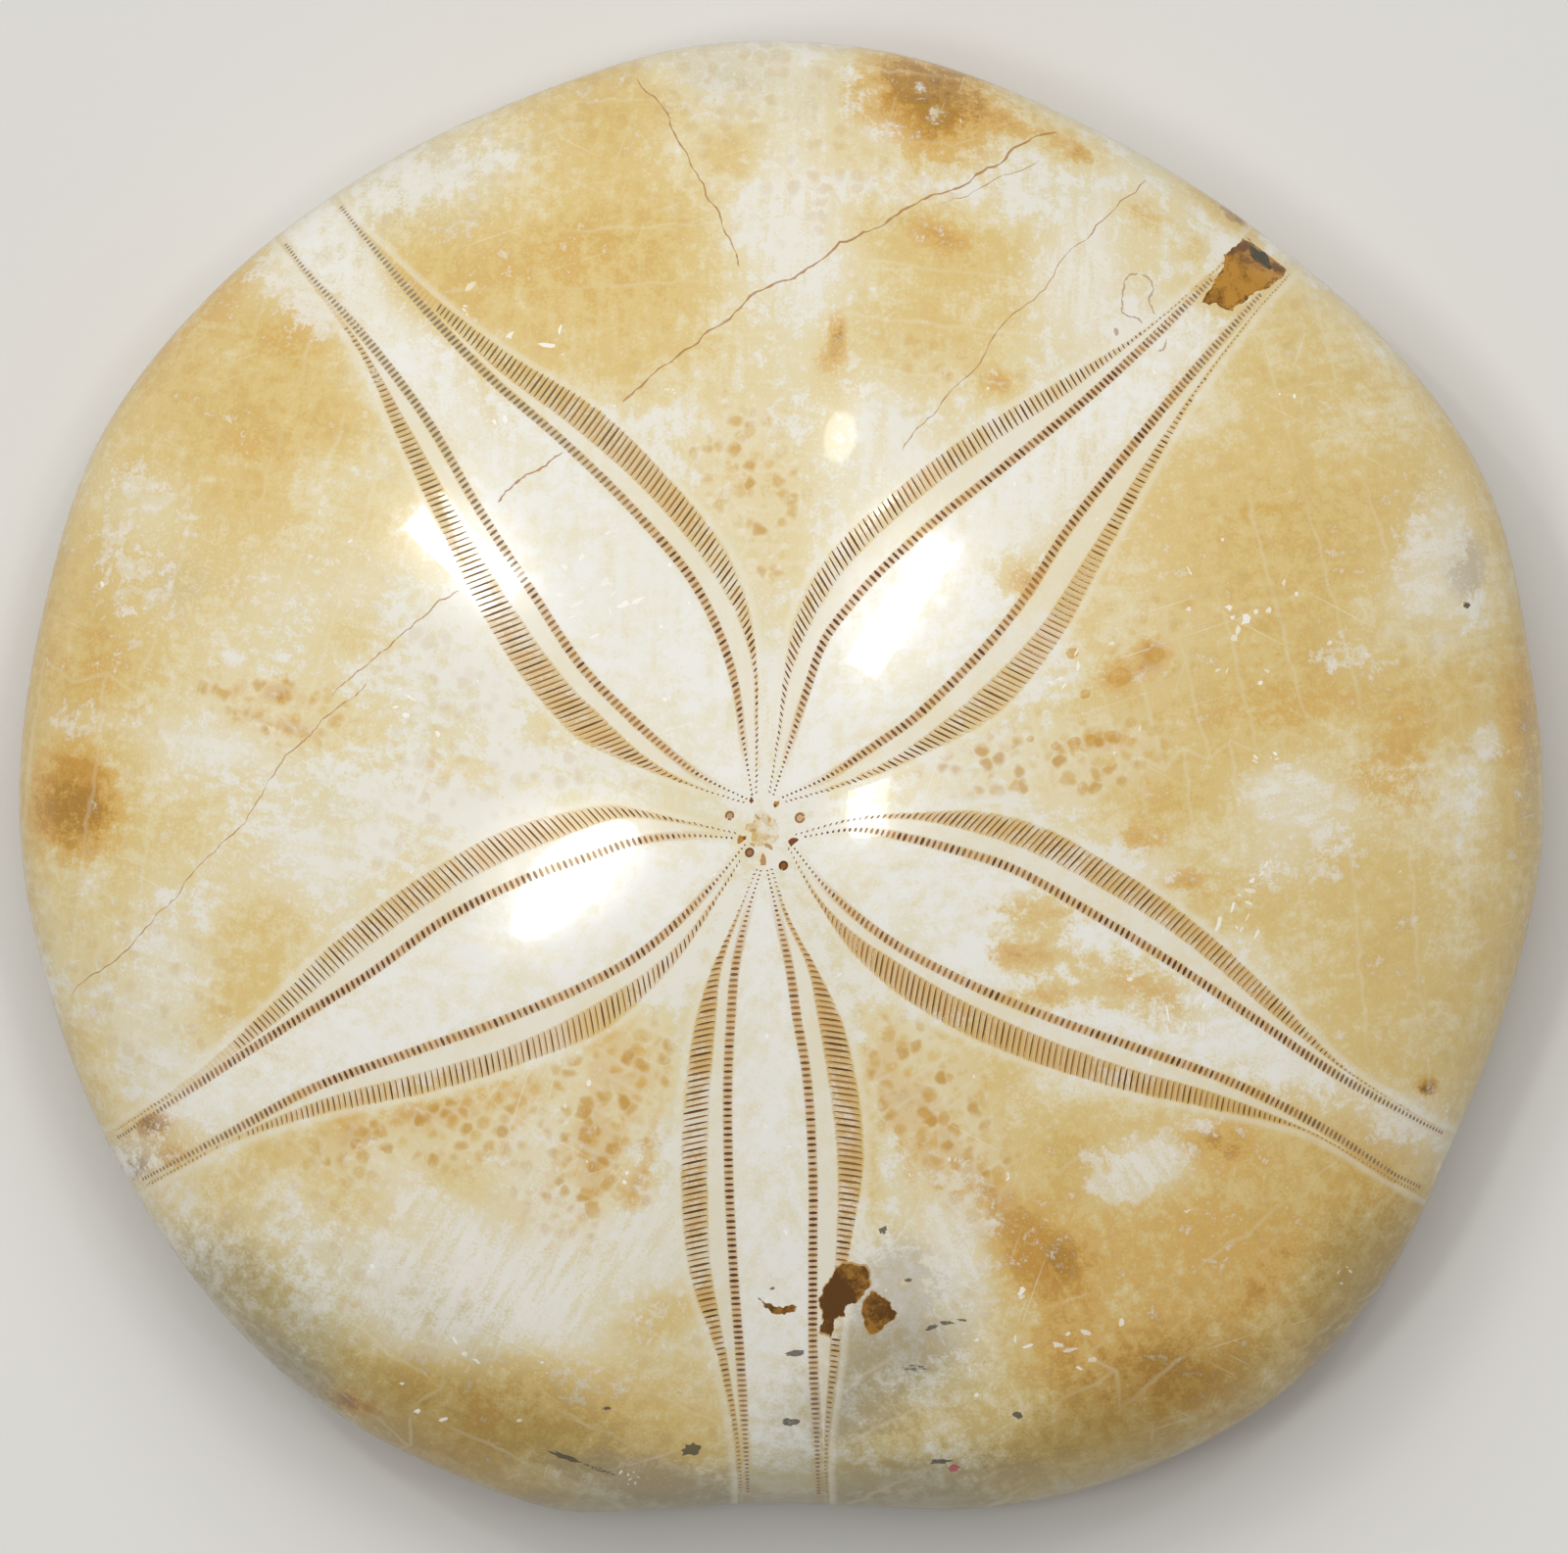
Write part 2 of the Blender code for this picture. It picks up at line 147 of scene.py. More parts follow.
# %% Petals
STATIONS = (0.0, 3.5, 7.1, 10.6, 14.1, 21.2, 28.3, 35.4, 42.4, 49.5)
PETALS = {
    "right": {
        "start": (2.0, -0.6),
        "heading": -26.9,
        "clockwise": (
            (0.2, 1.8, 2.8, 3.3, 3.4, 3.0, 2.1, 1.2, 1.1, 1.8),
            (0.4, 2.7, 3.9, 4.3, 4.6, 4.5, 3.7, 2.4, 1.8, 2.1),
            (0.6, 3.0, 5.0, 6.1, 6.6, 6.4, 5.3, 3.5, 1.9, 2.3),
        ),
        "anticlockwise": (
            (0.2, 2.7, 3.9, 4.7, 5.3, 5.1, 4.5, 3.6, 2.7, 2.4),
            (0.4, 3.4, 5.3, 6.3, 6.9, 7.0, 6.3, 4.7, 3.3, 2.6),
            (0.6, 3.7, 5.9, 7.8, 8.8, 8.8, 7.8, 5.9, 3.5, 2.7),
        ),
    },
    "back_right": {
        "start": (0.8, 2.5),
        "heading": 47.4,
        "clockwise": (
            (0.2, 1.7, 2.6, 3.4, 3.7, 3.6, 2.4, 1.8, 1.4, 1.2),
            (0.4, 2.5, 4.0, 4.9, 5.4, 5.7, 4.6, 3.3, 2.3, 1.7),
            (0.6, 2.8, 4.7, 6.2, 7.4, 7.4, 5.7, 4.0, 2.5, 1.8),
        ),
        "anticlockwise": (
            (0.2, 1.8, 3.5, 5.0, 5.4, 5.1, 4.0, 3.0, 2.4, 2.1),
            (0.4, 2.7, 5.0, 6.4, 7.2, 7.1, 5.9, 4.2, 3.1, 2.3),
            (0.6, 3.0, 5.7, 7.8, 8.8, 8.6, 7.4, 5.3, 3.3, 2.4),
        ),
    },
    "back_left": {
        "start": (-1.0, 2.5),
        "heading": 127.5,
        "clockwise": (
            (0.2, 2.1, 4.1, 5.4, 6.1, 5.9, 4.9, 3.5, 2.8, 2.5),
            (0.4, 3.1, 5.7, 7.1, 7.6, 7.5, 6.2, 4.3, 3.2, 2.6),
            (0.6, 3.4, 6.1, 8.1, 9.2, 9.3, 8.3, 5.7, 3.8, 2.7),
        ),
        "anticlockwise": (
            (0.2, 1.9, 2.8, 3.4, 3.8, 3.4, 2.8, 1.9, 1.8, 2.3),
            (0.4, 2.8, 4.2, 4.8, 5.3, 5.1, 4.3, 3.3, 2.4, 2.4),
            (0.6, 3.0, 5.3, 7.1, 7.6, 7.3, 5.9, 4.4, 2.8, 2.6),
        ),
    },
    "left": {
        "start": (-1.4, -0.6),
        "heading": 206.6,
        "clockwise": (
            (0.2, 2.2, 3.5, 4.0, 4.5, 4.6, 3.5, 2.8, 2.0, 1.1),
            (0.4, 3.2, 5.4, 6.0, 6.3, 6.2, 5.1, 3.5, 2.3, 1.6),
            (0.6, 3.5, 6.4, 7.6, 8.3, 8.1, 6.9, 4.7, 2.8, 1.7),
        ),
        "anticlockwise": (
            (0.2, 1.8, 3.1, 3.9, 4.1, 3.7, 2.8, 2.0, 2.2, 2.4),
            (0.4, 2.5, 4.3, 5.2, 5.6, 5.6, 4.4, 3.0, 2.6, 2.8),
            (0.6, 2.8, 5.0, 6.5, 7.4, 7.1, 5.9, 4.0, 2.9, 3.0),
        ),
    },
    "front": {
        "start": (0.0, -2.6),
        "heading": 271.8,
        "clockwise": (
            (0.2, 1.4, 2.3, 2.7, 3.0, 3.2, 3.1, 2.8, 2.6, 2.6),
            (0.4, 2.0, 3.3, 3.8, 4.2, 4.7, 4.7, 3.7, 3.0, 3.1),
            (0.6, 2.2, 4.0, 5.2, 5.9, 6.6, 6.3, 4.3, 3.3, 3.3),
        ),
        "anticlockwise": (
            (0.2, 0.9, 1.6, 2.0, 2.5, 2.8, 2.6, 2.4, 2.5, 2.5),
            (0.4, 1.4, 2.9, 3.5, 4.0, 4.6, 4.2, 3.6, 3.0, 3.1),
            (0.6, 1.7, 3.5, 5.1, 5.9, 6.4, 5.1, 4.2, 3.2, 3.3),
        ),
    },
}


def place_on(petal, points):
    """How far along a petal each point lies, and how far to its right."""
    offset = points - np.array(petal["start"])
    return offset @ direction(petal["heading"]), offset @ to_right(petal["heading"])


def petal_rows(petal, along, side):
    """The three row distances at a place along a petal; side is +1 clockwise, -1 not."""
    rows = []
    for right, left in zip(petal["clockwise"], petal["anticlockwise"]):
        on_right = smooth_curve(along, STATIONS, right)
        on_left = smooth_curve(along, STATIONS, left)
        rows.append(np.where(side > 0, on_right, on_left))
    return rows


print("petals:", ", ".join(PETALS))

# %% [markdown]
# ## Zones across the surface
#
# Relief and colour both follow the petals, so each point gets a zone number: 0 on a
# petal's middle line, 1 on its inner row, 2 to 3 in the outer band, and 4 midway to the
# next petal.  A relief curve over these numbers then sinks the bands a little and swells
# the fields between them.

# %% Zones
INNER_ROW, BAND_START, BAND_END = 1.0, 2.0, 3.0


def zone_across(points):
    """Zone number, 0 to 4, of each point seen from above."""
    zone = np.full(len(points), np.inf)
    gaps = []
    for petal in PETALS.values():
        along, sideways = place_on(petal, points)
        inner, start, end = petal_rows(petal, along, sideways)
        reach = np.abs(sideways)
        outside = np.where(
            reach < start,
            INNER_ROW + (reach - inner) / (start - inner),
            BAND_START + (reach - start) / (end - start),
        )
        inside = np.where(reach < inner, reach / inner, outside)
        zone = np.where((along > 0) & (reach < end), np.minimum(zone, inside), zone)
        gaps.append(np.where(along > 0, reach - end, np.hypot(along, reach)))
    nearest = np.sort(np.array(gaps), axis=0)
    first, second = np.maximum(nearest[0], 0.0), np.maximum(nearest[1], 0.01)
    between = BAND_END + 2 * first / (first + second)
    return np.where(np.isinf(zone), between, zone)


# %% [markdown]
# ## The form: dome and underside
#
# The dome is a superellipse: a cone near the tip that rounds off into a full margin.
# The underside is a dish with five pads to rest on, a mouth pit with swollen lips, five
# shallow furrows that lead to it, and the oval anal opening near the back.  A sculpted
# mesh could hold all this too, but a formula stays smooth however finely it is cut.

# %% Form
RIM_HEIGHT, DISH_HEIGHT = 11.0, 4.2
DOME_FULLNESS, DOME_ROUNDNESS, TIP_ROUNDING = 1.35, 2.1, 0.05
RELIEF_ZONES = (0.0, 0.5, 1.0, 2.0, 2.5, 3.0, 3.5, 4.0)
RELIEF = (0.02, 0.015, 0.0, -0.01, -0.02, -0.005, 0.02, 0.03)
MARGIN_ROUNDNESS, PAD_INNER, DISH_EDGE, PAD_FLAT = 2.2, 0.74, 0.72, 0.34
MOUTH_EDGE, MOUTH_DEPTH = 0.082, 4.6
LIP_MIDDLE, LIP_SPREAD, LIP_SWELL = 0.150, 0.045, 1.5
FURROW_DEPTH = 1.1
VENT_HEADING, VENT_REACH, VENT_DEPTH = 87.5, 45.5, 3.2
VENT_HALF_WIDTH, VENT_HALF_LENGTH = 3.1, 4.3


def upper_height(points):
    """Height of the dome over each point seen from above."""
    reach = np.clip(reach_of(points), 0, 1)
    out = np.hypot(reach, TIP_ROUNDING) - TIP_ROUNDING
    out /= np.hypot(1, TIP_ROUNDING) - TIP_ROUNDING
    dome = np.clip(1 - out**DOME_FULLNESS, 0, 1) ** (1 / DOME_ROUNDNESS)
    relief = smooth_curve(zone_across(points), RELIEF_ZONES, RELIEF)
    fade = smooth_step(reach, 0.10, 0.45) * (1 - smooth_step(reach, 0.80, 1.0))
    return RIM_HEIGHT + (HEIGHT - RIM_HEIGHT) * dome + relief * fade


def sector_of(points):
    """Place in its fifth of the shell: 0 on a petal's line, 1 midway to the next."""
    axes = np.array([petal["heading"] for petal in PETALS.values()])
    axes = np.concatenate([axes - 360, axes, axes + 360])
    headings = np.degrees(np.arctan2(points[:, 1], points[:, 0]))
    place = np.interp(headings, axes, np.arange(len(axes)))
    return 1 - 2 * np.abs(place % 1 - 0.5)


def vent_place(points):
    """Offset of each point from the anal opening, in units of its half width and length."""
    offset = points - VENT_REACH * direction(VENT_HEADING)
    lengthwise = offset @ direction(VENT_HEADING) / VENT_HALF_LENGTH
    return np.hypot(lengthwise, offset @ to_right(VENT_HEADING) / VENT_HALF_WIDTH)


def lower_height(points):
    """Height of the underside over each point seen from above."""
    reach, sector = np.clip(reach_of(points), 0, 1), sector_of(points)
    outer = np.clip((reach - PAD_INNER) / (1 - PAD_INNER), 0, 1)
    curl = 1 - (1 - outer**MARGIN_ROUNDNESS) ** (1 / MARGIN_ROUNDNESS)
    dish = (1 - np.clip(reach / DISH_EDGE, 0, 1) ** 2) ** 2
    mouth = np.exp(-((reach / (MOUTH_EDGE * (1.15 - 0.3 * sector))) ** 4))
    lips = bump(reach, LIP_MIDDLE, LIP_SPREAD) * smooth_step(sector, 0.2, 0.9)
    trough = (1 - smooth_step(sector, 0.0, 0.75)) * smooth_step(reach, 0.1, 0.3)
    trough *= 1 - smooth_step(reach, 0.85, 1.0)
    height = RIM_HEIGHT * curl + DISH_HEIGHT * dish + MOUTH_DEPTH * mouth
    height += FURROW_DEPTH * trough - LIP_SWELL * lips
    height += VENT_DEPTH * (1 - smooth_step(vent_place(points), 0.35, 1.15))
    settle = PAD_FLAT * (1 - smooth_step(reach, 0.85, 1.0))
    return np.maximum(height - settle, 0)


def lean_of(points, height_at, step=0.02):
    """Unit normals of a height surface, from how it rises over one small step."""
    east, north = np.array((step, 0.0)), np.array((0.0, step))
    rise_x = (height_at(points + east) - height_at(points - east)) / (2 * step)
    rise_y = (height_at(points + north) - height_at(points - north)) / (2 * step)
    normals = np.column_stack([-rise_x, -rise_y, np.ones(len(points))])
    return normals / np.linalg.norm(normals, axis=1)[:, None]


print("dome height over the apex:", upper_height(np.zeros((1, 2))).round(2), "mm")

# %% [markdown]
# ## Pores
#
# The pores are the drawing on this shell: over two thousand small slits, about half a
# millimetre apart.  They are real pits here, because a bump map of lines this fine
# breaks up at a grazing look.  Each is a closed outline with a smaller one for its
# floor.  Short pores are ovals, and the long slits of the outer band lean outward.

# %% Pore rows
rng = np.random.default_rng(7)
PITCH_PLACES = (0.0, 3.5, 7.0, 10.5, 28.0, 35.0, 50.0)
PITCHES = (0.30, 0.35, 0.41, 0.44, 0.45, 0.43, 0.38)
FIRST_PORE = 0.10
LAST_REACH = 0.982
SLIT_LEANS = {"right": 0.30, "back_right": 0.30, "back_left": 0.30, "left": 0.30, "front": 0.18}
SLIT_HALF_WIDTHS = {"right": 0.070, "back_right": 0.075, "back_left": 0.078, "left": 0.070,
                    "front": 0.085}
YOUNG_SLIT_HALF_WIDTH = 0.05
SLIT_SETBACK = 0.1
SLIT_FLATNESS = 0.8
PORE_HALF_WIDTH, PORE_WIDENS = 0.075, 0.045
PORE_HALF_LENGTH, PORE_LENGTHENS = 0.085, 0.27
PORE_DEPTH = 0.04
FLOOR_SHARE = 0.55
PROBE = 0.1
pits = []
row_steps = {}


def oval(middle, long_way, half_length, half_width, corners, flatness=1.0):
    """Corner points of an oval round a middle; flatness below 1 makes its sides straighter."""
    turn = np.linspace(0, 2 * np.pi, corners, endpoint=False)
    across_way = np.array((-long_way[1], long_way[0]))
    ends = np.sign(np.cos(turn)) * np.abs(np.cos(turn)) ** flatness * half_length
    sides = np.sin(turn) * half_width
    return middle + ends[:, None] * long_way + sides[:, None] * across_way


def add_pit(kind, middle, long_way, half_length, half_width, depth, corners):
    flatness = SLIT_FLATNESS if kind == "slit" else 1.0
    rim = oval(middle, long_way, half_length, half_width, corners, flatness)
    floor_length = half_length - (1 - FLOOR_SHARE) * half_width
    floor = oval(middle, long_way, floor_length, half_width * FLOOR_SHARE, corners, flatness)
    pits.append({"kind": kind, "rim": rim, "floor": floor, "depth": depth})


def foreshortening(point, ahead):
    """How much a length along the row shrinks in plan, where the dome falls away."""
    near = upper_height(point[None] - PROBE * ahead)[0]
    far = upper_height(point[None] + PROBE * ahead)[0]
    return 1 / np.hypot(1, (far - near) / (2 * PROBE))


def pore_row(name, side):
    """Cuts one side of a petal and gives back how far along it each pore is."""
    petal = PETALS[name]
    ahead, right = direction(petal["heading"]), to_right(petal["heading"])
    start = np.array(petal["start"])
    along, steps = FIRST_PORE, []
    while True:
        inner, band_in, band_out = (float(row) for row in petal_rows(petal, along, side))
        middle = start + along * ahead + side * inner * right
        if reach_of(middle[None])[0] > LAST_REACH:
            break
        squeeze = foreshortening(middle, ahead)
        grown = smooth_step(along, 0.5, 9.0)
        faded = smooth_step(reach_of(middle[None])[0], 0.80, 0.97)
        thick = (PORE_HALF_WIDTH + PORE_WIDENS * grown) * squeeze * rng.uniform(0.85, 1.1)
        half = (PORE_HALF_LENGTH + PORE_LENGTHENS * grown) * (1 - 0.55 * faded)
        half *= rng.uniform(0.92, 1.06)
        add_pit("pore", middle, side * right, half, thick, PORE_DEPTH, 8)
        length = band_out - band_in
        lean = SLIT_LEANS[name] * length
        inside = start + (along - SLIT_SETBACK) * ahead + side * band_in * right
        outside = inside + side * length * right + lean * ahead
        if reach_of(outside[None])[0] < LAST_REACH:
            outside = outside + rng.uniform(-0.06, 0.06) * right
            way = outside - inside
            span = np.hypot(*way)
            half_slit = max(span / 2, 0.06)
            widens = SLIT_HALF_WIDTHS[name] - YOUNG_SLIT_HALF_WIDTH
            slim = (YOUNG_SLIT_HALF_WIDTH + widens * grown) * squeeze
            corners = 10 if half_slit > 0.4 else 8
            add_pit("slit", (inside + outside) / 2, way / span, half_slit,
                    slim * rng.uniform(0.75, 1.15), PORE_DEPTH, corners)
        steps.append(along)
        along += float(smooth_curve(along, PITCH_PLACES, PITCHES)) * squeeze
    return np.array(steps)


for name in PETALS:
    for side in (1, -1):
        row_steps[name, side] = pore_row(name, side)
print(len(pits), "pores and slits cut")

# %% [markdown]
# ## The apex
#
# Where the petals meet, four round pores released the animal's eggs.  They are pits too,
# rounder and deeper than the rest.  The spongy plate between them, which let water in,
# was polished flat, so it comes later as a patch of colour.

# %% Apex pores
EGG_PORES = ((-2.45, 1.23, 0.35, 0.75), (2.55, 1.07, 0.40, 1.0), (-1.03, -1.40, 0.36, 0.25),
             (1.38, -2.33, 0.36, 0.0))
EGG_PORE_TURN, EGG_PORE_ROUNDNESS = 60, 0.93
EGG_PORE_DEPTH, EGG_PORE_CORNERS = 0.10, 18

for x, y, radius, lightness in EGG_PORES:
    add_pit("egg_pore", np.array((x, y)), direction(EGG_PORE_TURN), radius,
            radius * EGG_PORE_ROUNDNESS, EGG_PORE_DEPTH, EGG_PORE_CORNERS)
    pits[-1]["lightness"] = lightness
print(len(EGG_PORES), "egg pores")

# %% [markdown]
# ## Cracks and stained patches
#
# The shell cracked in the ground, and brown mineral grew in a few hollows.  A painted
# line would look the same from every side, so each crack is a shallow groove here.  The
# patches are flush with the polish, so they are only outlines in the mesh: an outline
# keeps its crisp edge, and its colour comes later.  A few random nudges roughen both.
# The crack widths are halves, in millimetres.

# %% Cracks and patches
CRACKS = {
    "back": (0.06, ((-9.9, 55.0), (-7.9, 52.9), (-6.4, 50.1), (-4.8, 47.2), (-3.2, 44.4),
                     (-2.4, 42.4), (-1.8, 40.5))),
    "long_back": (0.09, ((22.6, 50.8), (18.4, 49.4), (15.2, 47.2), (12.7, 45.8), (9.9, 44.6),
                          (7.1, 43.0), (4.1, 41.0), (1.4, 39.5), (-2.1, 37.2), (-5.7, 34.5),
                          (-8.5, 32.2), (-11.0, 29.9), (-14.1, 27.3), (-16.1, 25.9),
                          (-17.7, 25.0), (-19.0, 23.6))),
    "left_upper": (0.05, ((-21.8, 17.3), (-24.2, 15.5), (-26.3, 13.8), (-27.9, 12.4),
                           (-29.6, 11.0), (-30.9, 9.7))),
    "left_lower": (0.045, ((-28.4, 10.7), (-30.0, 9.3), (-31.6, 8.1), (-32.5, 6.9), (-33.3, 6.2),
                           (-35.9, 2.7), (-38.9, -0.8), (-42.1, -4.7), (-44.6, -7.2),
                           (-47.7, -10.0), (-50.6, -12.5))),
    "back_right": (0.05, ((28.3, 47.9), (24.8, 44.4), (21.2, 40.9), (18.4, 37.5),
                           (15.6, 33.9), (13.8, 32.0), (11.7, 29.6), (9.9, 27.4))),
    "fine": (0.035, ((19.8, 48.3), (16.3, 46.7), (12.7, 45.1))),
    "front": (0.045, ((3.5, -45.4), (4.1, -46.8), (4.6, -47.6))),
}
PATCHES = {
    "front_large": ((5.1, -31.2), (6.2, -30.8), (7.1, -31.0), (7.5, -31.5), (7.5, -32.5),
                    (7.1, -33.1), (6.4, -33.7), (5.8, -33.9), (5.8, -34.6), (5.0, -34.8),
                    (5.0, -35.6), (4.8, -36.1), (4.0, -35.7), (4.3, -34.9), (4.2, -34.2),
                    (3.9, -33.5), (4.2, -32.8), (4.6, -32.2), (4.9, -31.7)),
    "front_small": ((7.3, -33.3), (7.7, -32.8), (8.6, -33.3), (9.0, -33.6), (9.1, -34.1),
                    (9.5, -34.4), (9.1, -34.9), (8.6, -35.2), (8.2, -35.7), (7.7, -35.9),
                    (7.4, -35.6), (7.2, -34.9), (7.0, -34.2)),
    "front_crescent": ((-0.4, -33.3), (0.0, -33.6), (0.7, -33.9), (1.4, -34.0), (2.1, -33.8),
                       (2.3, -33.9), (2.1, -34.3), (1.4, -34.5), (0.6, -34.4), (0.0, -33.9)),
    "petal_end": ((34.4, 42.8), (35.3, 42.6), (36.4, 41.9), (37.5, 41.2), (37.6, 40.6),
                  (36.9, 39.7), (36.0, 39.0), (34.8, 38.5), (34.0, 37.9), (33.6, 37.4),
                  (33.0, 37.6), (32.5, 38.0), (31.4, 38.0), (31.9, 38.9), (32.3, 39.7),
                  (33.0, 40.6), (33.0, 41.5), (33.6, 42.0)),
}


def roughened(points, rounds, amount, closed):
    """The line with its middles nudged sideways again and again, a coastline in small."""
    line = np.array(points)
    for _ in range(rounds):
        following = np.roll(line, -1, axis=0) if closed else line[1:]
        leading = line if closed else line[:-1]
        step = following - leading
        nudge = rng.uniform(-amount, amount, (len(step), 1)) * step[:, ::-1] * (-1, 1)
        middle = (leading + following) / 2 + nudge
        woven = np.empty((len(leading) + len(middle), 2))
        woven[0::2], woven[1::2] = leading, middle
        line = woven if closed else np.vstack([woven, line[-1:]])
    return line


def inside(points, outline):
    """Which points lie inside a closed outline, by counting edges to their right."""
    x, y = points[:, 0, None], points[:, 1, None]
    x1, y1 = outline[:, 0], outline[:, 1]
    x2, y2 = np.roll(x1, -1), np.roll(y1, -1)
    crosses = (y1 > y) != (y2 > y)
    with np.errstate(divide="ignore", invalid="ignore"):
        at = x1 + (y - y1) * (x2 - x1) / (y2 - y1)
    return (crosses & (x < at)).sum(axis=1) % 2 == 1


ROUNDS = 3
PATCH_NUDGE, CRACK_NUDGE = 0.18, 0.10
patches = {name: roughened(line, ROUNDS, PATCH_NUDGE, True) for name, line in PATCHES.items()}
cracks = {name: (half, roughened(line, ROUNDS, CRACK_NUDGE, False))
          for name, (half, line) in CRACKS.items()}
print(len(patches), "patches and", len(cracks), "cracks")

# %% [markdown]
# ## Small marks
#
# Close up, the stone is full of little things: bright chips from the polishing, dark
# specks, a curl of violet mineral and the dark roots of the petals.  Each is too small
# for the mesh points to carry as colour, so each gets its own outline in the drawing.

# %% Chips
CHIPS = (
    (18.4, -32.8, 0.28, 0.2, 60), (18.5, -33.2, 0.25, 0.15, 0), (18.9, -36.8, 0.35, 0.16, 20),
    (21.0, -36.7, 0.42, 0.2, -20), (21.9, -37.1, 0.5, 0.15, 12), (23.1, -35.8, 0.45, 0.2, -15),
    (23.5, -37.8, 0.25, 0.22, 0), (25.6, -35.1, 0.3, 0.17, 80), (21.8, -35.9, 0.2, 0.12, 30),
    (18.0, -36.2, 0.3, 0.12, 85), (22.6, -38.4, 0.2, 0.1, -20), (33.2, 16.1, 0.26, 0.17, -30),
    (33.5, 15.4, 0.2, 0.15, 0), (34.4, 15.2, 0.4, 0.28, 70), (33.9, 14.5, 0.35, 0.2, 60),
    (33.6, 13.9, 0.26, 0.2, 0), (35.2, 15.8, 0.24, 0.14, 10), (36.1, 15.9, 0.26, 0.18, 40),
    (37.2, 17.9, 0.22, 0.12, 80), (38.1, 17.1, 0.18, 0.14, 30), (30.3, 16.0, 0.2, 0.15, 0),
    (30.4, 18.7, 0.3, 0.07, -60), (32.4, 11.6, 0.2, 0.1, 20), (33.1, 11.6, 0.2, 0.08, 70),
    (35.9, 11.6, 0.22, 0.12, -30), (35.5, 10.7, 0.18, 0.14, 0), (22.4, 12.0, 0.35, 0.12, 85),
    (24.8, 13.5, 0.22, 0.15, 10), (20.5, 10.7, 0.25, 0.1, -30), (21.1, 11.0, 0.28, 0.08, 20),
    (21.4, 10.5, 0.28, 0.08, 60), (22.3, 12.9, 0.3, 0.06, 60), (25.0, 5.7, 0.15, 0.12, 0),
    (28.8, -12.8, 0.6, 0.07, 100), (28.8, -14.0, 0.38, 0.09, 110), (29.2, -14.5, 0.3, 0.08, 20),
    (30.0, -13.9, 0.5, 0.09, 70), (31.1, -14.0, 0.45, 0.05, 95), (31.4, -14.0, 0.4, 0.05, 85),
    (27.6, -16.4, 0.35, 0.08, 72), (31.1, -11.7, 0.4, 0.07, 55), (31.4, -12.4, 0.2, 0.1, 60),
    (32.0, -12.1, 0.3, 0.06, 25), (34.9, -3.4, 0.4, 0.14, 45), (34.8, -4.2, 0.4, 0.18, -10),
    (34.6, -5.0, 0.35, 0.14, -25), (33.5, -5.3, 0.4, 0.1, 75), (32.5, -6.5, 0.5, 0.18, 70),
    (33.8, -6.8, 0.2, 0.1, -70), (34.1, -6.9, 0.25, 0.09, 60), (34.5, -6.1, 0.3, 0.06, 60),
    (35.2, -7.3, 0.35, 0.12, 60), (35.5, -3.0, 0.35, 0.09, 40), (35.9, -2.3, 0.3, 0.1, 60),
    (-18.2, 35.6, 0.4, 0.22, 40), (-15.6, 34.9, 0.7, 0.18, -15), (-18.6, 34.3, 0.45, 0.26, 70),
    (-20.0, 33.8, 0.3, 0.16, 40), (-16.1, 33.2, 0.45, 0.18, 10), (-14.6, 36.0, 0.3, 0.1, 80),
    (-18.7, 32.1, 0.3, 0.12, 70), (-18.5, 29.5, 0.4, 0.18, 80), (-14.4, 34.2, 0.15, 0.1, 0),
    (-26.2, 10.2, 0.38, 0.08, 15), (-25.3, 9.7, 0.5, 0.1, -30), (-26.3, 9.0, 0.25, 0.1, 10),
    (-25.6, 8.4, 0.25, 0.14, 0), (-13.0, 19.7, 0.3, 0.18, 40), (-14.2, 19.0, 0.25, 0.15, -30),
    (-14.6, 17.0, 0.2, 0.15, 0), (-13.4, 16.3, 0.5, 0.18, 25), (-13.7, 15.4, 0.3, 0.1, 10),
    (-10.0, 16.3, 0.5, 0.25, 30), (-9.0, 16.6, 0.45, 0.18, 20), (-11.3, 18.0, 0.4, 0.25, 60),
    (-12.2, 14.0, 0.5, 0.08, 20), (-22.2, -36.4, 0.35, 0.1, -60), (-21.5, -37.4, 0.25, 0.16, -20),
    (-20.6, -37.9, 0.25, 0.12, -35), (-24.9, -41.6, 0.3, 0.13, 30), (-23.1, -42.2, 0.38, 0.12, 10),
    (-17.6, -42.2, 0.3, 0.14, 0), (-26.0, -39.6, 0.2, 0.1, 0), (-21.0, 39.2, 0.45, 0.22, 35),
)
CHIP_CLUSTERS = (
    (17.5, -24.7, 0.4, 3), (-6.5, 31.5, 0.5, 4), (-12.0, 16.0, 3.0, 8), (-28.0, -31.5, 1.2, 5),
    (-15.5, -37.6, 2.4, 5), (-9.8, -46.2, 0.8, 8), (42.2, -31.6, 1.4, 4), (-21.0, 37.8, 1.0, 3),
    (30.8, -27.0, 1.0, 3), (13.5, -23.4, 0.6, 3), (12.0, 20.0, 4.0, 5), (24.0, 24.0, 5.0, 6),
    (36.0, -12.0, 2.0, 4), (15.0, -39.8, 2.0, 4), (37.5, 31.5, 0.8, 3), (36.0, 5.5, 1.5, 4),
    (-10.0, -24.5, 0.8, 5), (48.5, 24.0, 0.6, 2), (0.0, 0.0, 46.0, 110),
)
print(len(CHIPS), "chips and", len(CHIP_CLUSTERS), "clusters of them")

# %% [markdown]
# Marks that have a shape of their own are drawn point by point: the roots of the petals
# and the spongy plate at the apex, and a violet curl near the back.

